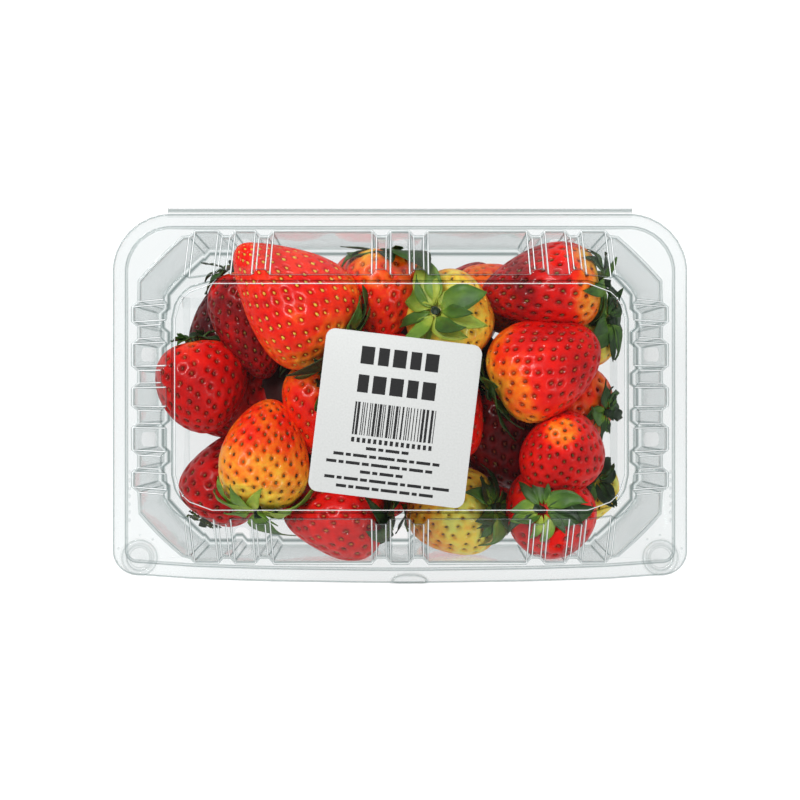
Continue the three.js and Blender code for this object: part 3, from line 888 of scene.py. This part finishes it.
# %% Rings round the pack
LONG_CHANGES = (3.7, 8.3, 41.8, 46.2, 54.2, 58.2, 67.3)
SHORT_CHANGES = (3.7, 9.2, 18.0, 23.6, 30.0)
CHANGE_RUN = 1.5
BEND = 0.32
CORNER_SHARES = (0, 0.016, 0.05, 0.12, 0.22, 0.36, 0.5, 0.64, 0.78, 0.88, 0.95, 0.984, 1)
STRAIGHT = 0.9
ARC_SPARE = 0.03
SHEET = 0.45
HALF_LENGTH = lid_high.x / MM
RIM_BACK = 59.6
RIM_FRONT = 58.0
FRONT_BOW = 2.6
FOOT_FACE = (86.8, 54.0)
FOOT_RIB = (84.8, 52.0)
PANEL = (71.8, 36.5)


def side_stations(changes):
    """(along, share of rib, fold) over one side: a slope with a bend at each end for every change."""
    half_run = CHANGE_RUN / 2
    slope = [(-half_run - BEND, 0, 0), (-half_run, 0.06, 1), (BEND - half_run, 0.24, 0), (0, 0.5, 0),
             (half_run - BEND, 0.76, 0), (half_run, 0.94, 1), (half_run + BEND, 1, 0)]
    half = []
    for i, at in enumerate(changes):
        half += [(at + step, rib if i % 2 == 0 else 1 - rib, fold) for step, rib, fold in slope]
    return [(-along, rib, fold) for along, rib, fold in reversed(half)] + half


def ring_points(face, rib, height, radius, bow=0.0, straight=0.0):
    """One ring. face and rib are half sizes (x, back, front); radius is (back, front)."""
    points = []
    pick = (0, 1, 0, 2)
    corner = (radius[0], radius[0], radius[1], radius[1])

    def swing_at(along, half, r):
        return math.asin(min(max((along - half + r) / r, 0), 1))

    for k in range(4):
        this, other = pick[k], pick[(k + 1) % 4]
        before = pick[(k + 3) % 4]
        own = side_stations(LONG_CHANGES if k % 2 else SHORT_CHANGES)
        turn = (int(math.cos(k * math.pi / 2)), int(math.sin(k * math.pi / 2)))

        def place(out, along):
            points.append((out * turn[0] - along * turn[1], out * turn[1] + along * turn[0], height))

        for along, share, _ in own:
            out = face[this] + (rib[this] - face[this]) * share
            r = corner[k] if along > 0 else corner[(k + 3) % 4]
            neighbour = rib[other if along > 0 else before]
            swing = swing_at(abs(along), neighbour, r)
            bulge = bow * (1 - (along / HALF_LENGTH) ** 2) if k == 3 else 0
            place(out - r * (1 - math.cos(swing)) + bulge, along)
        r = corner[k]
        last = own[-1][0]
        next_last = side_stations(SHORT_CHANGES if k % 2 else LONG_CHANGES)[-1][0]

        def arc(swing):
            return rib[this] - r * (1 - math.cos(swing)), rib[other] - r * (1 - math.sin(swing))

        start = swing_at(last, rib[other], r) + ARC_SPARE
        stop = math.pi / 2 - swing_at(next_last, rib[this], r) - ARC_SPARE
        (out_a, along_a), (out_b, along_b) = arc(start), arc(stop)
        near_a = max(along_a - BEND, (last + along_a) / 2)
        place(rib[this] - r * (1 - math.cos(swing_at(near_a, rib[other], r))), near_a)
        for share in CORNER_SHARES:
            out, along = arc(start + (stop - start) * share)
            out += (out_a + (out_b - out_a) * share - out) * straight
            along += (along_a + (along_b - along_a) * share - along) * straight
            place(out, along)
        near_b = max(out_b - BEND, (next_last + out_b) / 2)
        place(near_b, rib[other] - r * (1 - math.cos(swing_at(near_b, rib[this], r))))
    return np.array(points)


def side_folds():
    """The fold value of each point of a ring."""
    corner = [0] * (len(CORNER_SHARES) + 2)
    long = [fold for *_, fold in side_stations(LONG_CHANGES)] + corner
    short = [fold for *_, fold in side_stations(SHORT_CHANGES)] + corner
    return np.array((short + long) * 2, float)


# The fold values set here are where the sheet's material paints its grey lines of shade and white highlights.
def eased_rings(rows, side):
    """Rings and folds from rows of (ring, ease in mm, fold of its bend, folds of its sides in and out)."""
    rings, folds = [rows[0][0]], [0 * side]
    for (before, *_), (here, ease_mm, bend, upright), (after, *_) in zip(rows, rows[1:], rows[2:]):
        reach_in = np.linalg.norm(here - before, axis=1, keepdims=True)
        reach_out = np.linalg.norm(after - here, axis=1, keepdims=True)
        a = here + (before - here) * np.minimum(ease_mm / reach_in, 0.45)
        b = here + (after - here) * np.minimum(ease_mm / reach_out, 0.45)
        for t, weight in ((0, 0), (0.25, 0.4), (0.5, 1), (0.75, 0.4), (1, 0)):
            rings.append(a * (1 - t) ** 2 + here * 2 * t * (1 - t) + b * t ** 2)
            folds.append(np.maximum(side * (upright[0] + (upright[1] - upright[0]) * t), bend * weight))
    rings.append(rows[-1][0])
    folds.append(0 * side)
    return rings, folds


def formed_sheet(name, rows, side=None):
    """A sheet of real thickness over rows of rings, closed in the middle of the first one."""
    count = len(rows[0][0])
    rings, folds = eased_rings(rows, np.zeros(count) if side is None else side)
    points = np.concatenate(rings)
    faces = [tuple(range(count))]
    for k in range(len(rings) - 1):
        for i in range(count):
            j = (i + 1) % count
            faces.append((k * count + i, (k + 1) * count + i, (k + 1) * count + j, k * count + j))
    obj = mesh_object(name, points, faces)
    set_value(obj, "fold", np.concatenate(folds))
    apply_modifier(obj, "SOLIDIFY", thickness=SHEET * MM, offset=-1)
    return obj


def grown(half, by):
    return (half[0] + by, half[1] + by, half[1] + by)


def rim(inset):
    return (HALF_LENGTH - inset, RIM_BACK - inset, RIM_FRONT - inset)


SIDE_FOLDS = side_folds()
print("one ring has", len(SIDE_FOLDS), "points")


# %% [markdown]
# The tray: a flat floor, a round foot, tall fluted walls with hardly any slope, and a flange with a low
# rim band. Its upper surface is skinned and the thickness goes outwards and down.

# %% Tray
TRAY_DRAFT = 1.2
FOOT_ROUND = 2.4
CORNER = 15.0
CHAMFER_SHRINK = 2 - math.sqrt(2)
TRAY_RIM = SEAM / MM - 0.35
RIM_STEP = 0.75
RIM_BAND = 4.2
RIM_CORNERS = (19.0, 8.0)
TRAY_INSIDE = 0.8
TRAY_FLOOR = SHEET + 0.05
FLANGE = [(RIM_BAND + 0.7, RIM_STEP, 0.3, 0.25), (RIM_BAND, 0, 0.3, 0.2), (0.3, 0, 0.15, 0.5),
          (0, -0.4, 0, 0)]


def tray_ring(inset, height):
    """A ring of the tray's wall: its cut corners keep their distance from the outer ones."""
    inset += TRAY_INSIDE
    r = CORNER - CHAMFER_SHRINK * inset
    return ring_points(grown(FOOT_FACE, -inset), grown(FOOT_RIB, -inset), height, (r, r), straight=STRAIGHT)


def flange_rings(low):
    """The flange from the wall outwards: raised band, step, low rim band, turned-down lip."""
    rows = []
    for inset, rise, ease_mm, bend in FLANGE:
        corners = [corner - inset for corner in RIM_CORNERS]
        ring = ring_points(rim(inset), rim(inset), low + rise, corners, FRONT_BOW)
        rows.append((ring, ease_mm, bend, (0, 0)))
    return rows


tray_rows = [
    (tray_ring(TRAY_DRAFT + 2 * FOOT_ROUND, TRAY_FLOOR), 0, 0, (0, 0)),
    (tray_ring(TRAY_DRAFT + FOOT_ROUND * 0.75, TRAY_FLOOR), 1.0, 0.45, (0, 0)),
    (tray_ring(TRAY_DRAFT + 0.2, SHEET + FOOT_ROUND), 2.0, 0.2, (0, 0.4)),
    (tray_ring(0, TRAY_RIM + RIM_STEP), 0.7, 1, (0.4, 0)),
    *flange_rings(TRAY_RIM),
]
tray = formed_sheet("tray_sheet", tray_rows, SIDE_FOLDS)
smooth(tray)
print("tray", triangles(tray), "triangles", [round(v / MM, 1) for v in tray.dimensions])


# %% [markdown]
# The lid: a raised panel with a soft edge, a narrow ledge, the sloping fluted wall and a flange that
# lies on the tray's. The ribs turn upright near the flange, so they stand out from the faces in the
# upper part of the wall and lie back from them at its foot. Ten vents are cut through the wall.

# %% Lid
LID_RIM = SEAM / MM + 0.35 + SHEET
LID_TOP_Z = lid_high.z / MM
PANEL_RISE = 1.0
LEDGE_FACE = 2.2
LEDGE_RIB = 3.9
RIB_KNEE = 0.25
PANEL_CORNER = 12.5

lid_foot = LID_RIM + RIM_STEP
ledge_z = LID_TOP_Z - PANEL_RISE
knee_z = lid_foot + (ledge_z - lid_foot) * RIB_KNEE
knee_face = [foot + (panel + LEDGE_FACE - foot) * RIB_KNEE for foot, panel in zip(FOOT_FACE, PANEL)]
lid_rows = [
    (ring_points(grown(PANEL, -2.5), grown(PANEL, -2.5), LID_TOP_Z, (PANEL_CORNER - 2.5,) * 2), 0, 0, (0, 0)),
    (ring_points(grown(PANEL, -0.7), grown(PANEL, -0.7), LID_TOP_Z, (PANEL_CORNER,) * 2), 0.35, 1, (0, 0)),
    (ring_points(grown(PANEL, 0.2), grown(PANEL, 0.2), ledge_z, (PANEL_CORNER,) * 2), 0.35, 0.45, (0, 0)),
    (ring_points(grown(PANEL, LEDGE_FACE), grown(PANEL, LEDGE_RIB), ledge_z - 0.15, (PANEL_CORNER + 2,) * 2),
     0.5, 0.6, (0, 1)),
    (ring_points(grown(knee_face, 0), grown(FOOT_RIB, -0.5), knee_z, (CORNER,) * 2, straight=STRAIGHT),
     1.5, 0, (1, 1)),
    (ring_points(grown(FOOT_FACE, 0), grown(FOOT_RIB, 0), lid_foot, (CORNER,) * 2, straight=STRAIGHT),
     0.6, 1, (1, 0)),
    *flange_rings(LID_RIM),
]
lid = formed_sheet("lid_sheet", lid_rows, SIDE_FOLDS)
print("lid", triangles(lid), "triangles", [round(v / MM, 1) for v in lid.dimensions])


# %% [markdown]
# A vent is a slot with round ends, cut level through the wall. One cutter is a cylinder, pulled apart
# into a slot; its copies stand in all the vents' places and are taken from the lid in one cut.

# %% Vents
VENT_WIDTH = 4.6
CUTTER_DEPTH = 22
VENTS = [(side, along, 67.0, 82.0) for side in (1, 3) for along in (-50.2, 0, 50.2)]
VENTS += [(side, along, 68.5, 80.0) for side in (0, 2) for along in (-13.6, 13.6)]


def vent_cutter(side, along, low, high):
    bpy.ops.object.select_all(action="DESELECT")
    bpy.ops.mesh.primitive_cylinder_add(vertices=24, radius=VENT_WIDTH / 2 * MM, depth=CUTTER_DEPTH * MM)
    cutter = bpy.context.object
    stretch = (high - low - VENT_WIDTH) / 2 * MM
    for vertex in cutter.data.vertices:
        vertex.co.y += math.copysign(stretch, vertex.co.y)
    cutter.rotation_euler = (math.pi / 2, 0, math.pi / 2 + side * math.pi / 2)
    reach = (FOOT_FACE[side % 2] + PANEL[side % 2]) / 2
    angle = side * math.pi / 2
    cutter.location = (
        (reach * math.cos(angle) - along * math.sin(angle)) * MM,
        (reach * math.sin(angle) + along * math.cos(angle)) * MM,
        (low + high) / 2 * MM,
    )
    return settle(cutter)


cutters = join([vent_cutter(*vent) for vent in VENTS], "vent_cutters")
apply_modifier(lid, "BOOLEAN", operation="DIFFERENCE", object=cutters, solver="EXACT")
bpy.data.objects.remove(cutters, do_unlink=True)
smooth(lid, 50)
print("lid with vents", triangles(lid), "triangles")


# %% [markdown]
# At each front corner a round cup in the lid's flange snaps over a knob in the tray's. Both are round
# rings, skinned like the pack itself. Small pips stand round the cups and in a row along the ends.

# %% Snap buttons
BUTTON = (84.6, -52.2)
BUTTON_STATIONS = 40
CUP_PROFILE = [(2.6, 1.1, 0, 0), (3.9, 1.15, 0.25, 0.15), (4.3, 1.95, 0.3, 0), (5.0, 2.1, 0.3, 0.05),
               (5.5, 1.6, 0.3, 0), (5.8, 0.1, 0.25, 0.2), (6.5, 0.02, 0, 0)]
KNOB_PROFILE = [(2.4, 1.2, 0, 0), (3.3, 1.25, 0.3, 0.1), (4.0, 1.35, 0.3, 0), (4.6, 0.1, 0.3, 0.1),
                (5.1, 0.02, 0, 0)]
BUTTON_SEAT = RIM_STEP * 0.2
PIP_RADIUS = 0.42
PIP_RING = {"radius": 7.4, "count": 5, "start": 100, "step": 34}
PIP_ROW = {"x": HALF_LENGTH - RIM_BAND - 1.5, "y": -40, "count": 7, "step": 2.6, "stretch": 1.7}


def button(name, profile, centre):
    """A round button from (radius, height, ease, fold) rows, from the middle out."""
    angles = np.linspace(0, TAU, BUTTON_STATIONS, endpoint=False)
    rows = [(np.stack([centre[0] + r * np.cos(angles), centre[1] + r * np.sin(angles),
                       np.full(BUTTON_STATIONS, centre[2] + h)], axis=1), ease_mm, bend, (0, 0))
            for r, h, ease_mm, bend in profile]
    return formed_sheet(name, rows)


def pip(centre, stretch=1.0):
    """A low dome on the flange, drawn out along Y by a stretch."""
    bpy.ops.object.select_all(action="DESELECT")
    bpy.ops.mesh.primitive_uv_sphere_add(segments=12, ring_count=8, radius=PIP_RADIUS * MM)
    dome = bpy.context.object
    dome.scale = (1, stretch, 0.7)
    dome.location = [c * MM for c in centre]
    return settle(dome)


cups, knobs, pips = [], [], []
pip_z = LID_RIM + RIM_STEP
for side in (-1, 1):
    spot = (side * BUTTON[0], BUTTON[1])
    cups.append(button("cup", CUP_PROFILE, (*spot, LID_RIM + BUTTON_SEAT)))
    knobs.append(button("knob", KNOB_PROFILE, (*spot, TRAY_RIM + BUTTON_SEAT)))
    for k in range(PIP_RING["count"]):
        angle = math.radians(90 - side * (PIP_RING["start"] - PIP_RING["step"] * k))
        x, y = spot[0] + PIP_RING["radius"] * math.cos(angle), spot[1] + PIP_RING["radius"] * math.sin(angle)
        pips.append(pip((x, y, pip_z)))
    for k in range(PIP_ROW["count"]):
        pips.append(pip((side * PIP_ROW["x"], PIP_ROW["y"] + PIP_ROW["step"] * k, pip_z), PIP_ROW["stretch"]))
cup = join(cups, "snap_cups")
knob = join(knobs, "snap_knobs")
pips = join(pips, "flange_pips")
for obj in (cup, knob, pips):
    smooth(obj)
print("snap buttons:", triangles(cup, knob, pips), "triangles")


# %% [markdown]
# Near the middle of the front the rim has a small tongue for the thumb: a half-moon with an arched
# bead. Its rings are half-moons of growing size, skinned in the same way as the pack.

# %% Lift tab
TAB_HALF = 6.2
TAB_DEPTH = 3.6
TAB_X = 3.1
TAB_TAPER = 1.6
TAB_ON_RIM = 0.75
ROUND_STEPS = 25
STRAIGHT_STEPS = 13
TAB_PROFILE = [(1.5, 0.25, 0, 0), (1.15, 0.3, 0.15, 0.2), (0.85, 0.9, 0.15, 0.2), (0.4, 0.9, 0.15, 0.2),
               (0.1, 0.1, 0.15, 0.2), (-0.4, 0.0, 0, 0)]


def half_moon(inset, height):
    """A half-moon with its round side towards the tray and its straight side along the rim."""
    base = lid_low.y / MM + TAB_ON_RIM + inset * 0.6
    depth = TAB_DEPTH - TAB_TAPER * inset
    round_side = [((TAB_HALF - inset) * math.cos(a), base + depth * math.sin(a) ** 0.7)
                  for a in np.linspace(0.05, math.pi - 0.05, ROUND_STEPS)]
    half = TAB_HALF - inset
    straight_side = [(x, base) for x in np.linspace(-half, half, STRAIGHT_STEPS)[1:-1]]
    return np.array([(TAB_X + x, y, LID_RIM + height) for x, y in round_side + straight_side])


tab_rows = [(half_moon(inset, height), ease_mm, bend, (0, 0)) for inset, height, ease_mm, bend in TAB_PROFILE]
tab = formed_sheet("lift_tab", tab_rows)
smooth(tab, 60)
print("lift tab", triangles(tab), "triangles")


# %% [markdown]
# The hinge is the same sheet, folded back on itself in a narrow bead between the two flanges. Its
# section is drawn once and swept along the back. On the real pack the bead opens out flat when the lid
# turns back; here it is drawn closed.

# %% Hinge
BEAD_STEPS = 14
BEAD_OPEN = 115
BEAD_THICK = 0.3
BEAD_FOLD = 0.14
FLAPS = (2.4, 1.1)
FLAP_SINK = 0.1
bead_y = (hinge_low.y + hinge_high.y) / 2 / MM
bead_z = SEAM / MM
bead_r = (hinge_high.y - hinge_low.y) / 2 / MM - 0.05
bead_half = hinge_high.x / MM

section = [(bead_y - reach, TRAY_RIM - FLAP_SINK) for reach in FLAPS]
for angle in np.linspace(-BEAD_OPEN, BEAD_OPEN, BEAD_STEPS):
    a = math.radians(angle)
    section.append((bead_y + bead_r * math.cos(a), bead_z + bead_r * math.sin(a)))
section += [(bead_y - reach, LID_RIM + FLAP_SINK) for reach in reversed(FLAPS)]
columns = np.linspace(-bead_half, bead_half, 31)
hinge_points = [(x, y, z) for x in columns for y, z in section]
hinge = mesh_object("hinge_fold", hinge_points, grid_faces(len(columns), len(section)))
# The bead's fold value gives it a faint painted grey line of shade in the sheet's material.
set_value(hinge, "fold", [BEAD_FOLD * (abs(y - bead_y + 0.1) < 0.62) for _ in columns for y, _ in section])
apply_modifier(hinge, "SOLIDIFY", thickness=BEAD_THICK * MM, offset=0)
face_outwards(hinge)
smooth(hinge, 50)
print("hinge", triangles(hinge), "triangles")


# %% [markdown]
# The sheet is clear PET, moulded hot: it lets nearly all light through where it lies flat, mirrors more
# of the room the more edge-on it is seen, and dims what lies behind it there. Real sheet sends light
# astray at its bends; here each bend gets a painted thin grey line of shade and a painted white
# highlight, a matt white shader, along its crest, which draws the pack. A faint waviness of about
# 9 mm breaks the reflections up, as the sheet is never quite even.

# %% Clear sheet
MIRROR_HEAD_ON = 0.01
MIRROR_EDGE_ON = 0.45
MIRROR_RISE = 4.0
TINT_RISE = 2.6
PAINTED_GLINT = {"From Min": 0.4, "From Max": 0.95, "To Max": 0.8}
WAVES_MM = 9
WHITE = (1, 1, 1, 1)

clear_sheet = new_material("PET sheet, clear and glossy", tray, lid, pips)
coords = add(clear_sheet, "TexCoord").outputs["Object"]
fold = add(clear_sheet, "Attribute", attribute_name="fold").outputs["Fac"]
waves = add(clear_sheet, "TexNoise", {"Vector": coords},
            {"Scale": 1 / (WAVES_MM * MM), "Detail": 2}).outputs["Fac"]
sheet_bump = add(clear_sheet, "Bump", {"Height": waves},
                 {"Strength": 0.25, "Distance": 0.6 * MM}).outputs[0]
facing = add(clear_sheet, "LayerWeight", {"Normal": sheet_bump}, {"Blend": 0.5}).outputs["Facing"]
steep = add(clear_sheet, "Math", {0: facing}, {1: MIRROR_RISE}, operation="POWER").outputs[0]
mirrored = add(clear_sheet, "Math", {0: steep}, {1: MIRROR_EDGE_ON, 2: MIRROR_HEAD_ON},
               operation="MULTIPLY_ADD").outputs[0]
edge_on = add(clear_sheet, "Math", {0: facing}, {1: TINT_RISE}, operation="POWER").outputs[0]
see_through = add(clear_sheet, "ValToRGB", {"Fac": edge_on},
                  stops=[(0.0, "f8f9f9"), (0.35, "f6f8f8"), (1.0, "eef0f0")]).outputs["Color"]
# Painted shade: a grey tint on what passes through the bends, for the light that real sheet sends astray
# there.
painted_bend_shade = add(clear_sheet, "ValToRGB", {"Fac": fold},
                 stops=[(0.0, "ffffff"), (0.35, "c2cac9"), (1.0, "e6eae9")]).outputs["Color"]
tint = add(clear_sheet, "Mix", {6: see_through, 7: painted_bend_shade}, {"Factor": 1.0},
           data_type="RGBA", blend_type="MULTIPLY").outputs[2]
passed = add(clear_sheet, "BsdfTransparent", {"Color": tint}).outputs[0]
gloss = add(clear_sheet, "BsdfGlossy", {"Normal": sheet_bump},
            {"Color": WHITE, "Roughness": 0.06}).outputs[0]
sheet_mix = add(clear_sheet, "MixShader", {"Fac": mirrored, 1: passed, 2: gloss}).outputs[0]
# Painted highlight: matt white along the crests of the bends, in place of a real reflection.
painted_glint = add(clear_sheet, "BsdfDiffuse", values={"Color": WHITE}).outputs[0]
crest = add(clear_sheet, "MapRange", {"Value": fold}, PAINTED_GLINT, interpolation_type="SMOOTHSTEP").outputs[0]
bent_mix = add(clear_sheet, "MixShader", {"Fac": crest, 1: sheet_mix, 2: painted_glint}).outputs[0]
add(clear_sheet, "OutputMaterial", {"Surface": bent_mix})


# %% [markdown]
# Where the sheet is drawn deepest, in the buttons and the tongue, and where it is pressed for the
# hinge, it is thinner and clearer. That is the same finish with a lighter colour.

# %% Thin sheet
THIN = ("fdfdfd", "fbfcfc", "f4f6f6")

thin_sheet = clear_sheet.copy()
thin_sheet.name = "PET sheet, drawn thin"
through = next(n for n in thin_sheet.node_tree.nodes if n.type == "VALTORGB")
for stop, colour in zip(through.color_ramp.elements, THIN):
    stop.color = linear(colour)
for obj in (cup, knob, tab, hinge):
    obj.data.materials.append(thin_sheet)


# %% [markdown]
# A white paper label with round corners is stuck on the panel, a little askew. It is a thin slab with
# a softened edge.

# %% Label
LABEL_SIZE = (49.5, 51.7)
LABEL_CORNER = 3.0
CORNER_STEPS = 9
LABEL_TURN = math.radians(-6.9)
PAPER_THICK = 0.16
PAPER_EDGE = 0.05
label_middle = ((label_low.x + label_high.x) / 2, (label_low.y + label_high.y) / 2)


def label_outline():
    points = []
    for k in range(4):
        corner = ((LABEL_SIZE[0] / 2 - LABEL_CORNER) * (1, -1, -1, 1)[k],
                  (LABEL_SIZE[1] / 2 - LABEL_CORNER) * (1, 1, -1, -1)[k])
        for a in np.linspace(k * math.pi / 2, (k + 1) * math.pi / 2, CORNER_STEPS):
            points.append((corner[0] + LABEL_CORNER * math.cos(a), corner[1] + LABEL_CORNER * math.sin(a), 0))
    return points


def on_label(obj, height):
    """Turns a flat piece as the label lies and puts it at its place, at a height in metres."""
    obj.rotation_euler.z = LABEL_TURN
    obj.location = (*label_middle, height)
    return settle(obj)


outline = label_outline()
label = mesh_object("label_paper", outline, [tuple(range(len(outline)))])
apply_modifier(label, "SOLIDIFY", thickness=PAPER_THICK * MM, offset=-1)
apply_modifier(label, "BEVEL", width=PAPER_EDGE * MM, segments=2, limit_method="ANGLE",
               angle_limit=math.radians(40))
on_label(label, label_high.z - 0.02 * MM)
smooth(label, 40)
print("label", triangles(label), "triangles")


# %% [markdown]
# The print is generic: rows of plain blocks for a heading, stripes in a rhythm of their own, and thin
# broken lines for small print. Every mark is a low block, raised by the thickness of the ink.

# %% Print on the label
INK = 0.03
draw = random.Random(7)


def mark_row(y, height, left, right, widths, gap):
    """Blocks from left to right over the widths in turn, in label millimetres."""
    blocks, x, i = [], left, 0
    while x + widths[i % len(widths)] <= right:
        width = widths[i % len(widths)]
        blocks.append((x, x + width, y - height / 2, y + height / 2))
        x += width + gap
        i += 1
    return blocks


def stripe_field(y, height, left, right):
    """Upright stripes and gaps of a few set widths, drawn at random."""
    blocks, x = [], left
    while x < right:
        width = draw.choice((0.3, 0.3, 0.55, 0.8))
        blocks.append((x, min(x + width, right), y - height / 2, y + height / 2))
        x += width + draw.choice((0.3, 0.45, 0.7))
    return blocks


marks = mark_row(18.6, 5.6, -13, 14, (4.2, 3.4, 4.2, 3.4), 1.3)
marks += mark_row(9.6, 5.6, -13, 14, (3.4, 4.2, 4.2), 1.3)
marks += stripe_field(-1.4, 10.4, -13, 12.6)
marks += mark_row(-8.2, 1.5, -13, 12.6, (1.0,), 0.75)
for row, (left, right) in enumerate([(-8, 8), (-18, 19), (-20, 18), (-9, 10), (-20, 20), (-16, 15)]):
    marks += mark_row(-10.6 - 2.5 * row, 0.95, left, right, (3.2, 1.6, 4.4, 2.2, 5.2), 0.7)

mark_parts = []
for x0, x1, y0, y1 in marks:
    corners = [(x0, y0, 0), (x1, y0, 0), (x1, y1, 0), (x0, y1, 0)]
    mark_parts.append((np.array(corners + [(x, y, INK) for x, y, _ in corners], float),
                       [(3, 2, 1, 0), (4, 5, 6, 7), (0, 1, 5, 4), (1, 2, 6, 5), (2, 3, 7, 6), (3, 0, 4, 7)]))
label_print = merged("label_print", mark_parts)
on_label(label_print, label_high.z - 0.03 * MM)
smooth(label_print, 20)
print(len(marks), "printed marks")


# %% [markdown]
# The label is coated paper: white, faintly fibrous, with a dull gloss. The ink is matt black, and a
# touch uneven where it was printed fast.

# %% Paper and ink
FIBRE_MM = 0.6
INK_MM = 0.5

paper = new_material("coated paper, white", label)
coords = add(paper, "TexCoord").outputs["Object"]
fibre = add(paper, "TexNoise", {"Vector": coords},
            {"Scale": 1 / (FIBRE_MM * MM), "Detail": 4}).outputs["Fac"]
paper_colour = add(paper, "ValToRGB", {"Fac": fibre},
                   stops=[(0.3, "b3b4b2"), (0.7, "bbbcba")]).outputs["Color"]
paper_bump = add(paper, "Bump", {"Height": fibre},
                 {"Strength": 0.08, "Distance": 0.05 * MM}).outputs[0]
paper_shader = add(paper, "BsdfPrincipled", {"Base Color": paper_colour, "Normal": paper_bump},
                   {"Roughness": 0.45, "Specular IOR Level": 0.4})
add(paper, "OutputMaterial", {"Surface": paper_shader.outputs[0]})

ink = new_material("printing ink, matt black", label_print)
coords = add(ink, "TexCoord").outputs["Object"]
patchy = add(ink, "TexNoise", {"Vector": coords},
             {"Scale": 1 / (INK_MM * MM), "Detail": 3}).outputs["Fac"]
ink_colour = add(ink, "ValToRGB", {"Fac": patchy},
                 stops=[(0.3, "08080a"), (0.75, "161618")]).outputs["Color"]
ink_shader = add(ink, "BsdfPrincipled", {"Base Color": ink_colour}, {"Roughness": 0.5})
add(ink, "OutputMaterial", {"Surface": ink_shader.outputs[0]})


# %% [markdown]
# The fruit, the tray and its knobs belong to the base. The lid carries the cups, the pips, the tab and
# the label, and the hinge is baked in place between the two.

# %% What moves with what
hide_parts("berries")
for obj in (*fruit, seeds, leaves, stubs, core):
    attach(obj, "base")
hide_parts("tray")
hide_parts("lid")
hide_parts("hinge")
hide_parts("label")
for obj in (tray, knob):
    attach(obj, "base")
for obj in (lid, cup, pips, tab, label, label_print):
    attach(obj, "cover")
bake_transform(hinge)
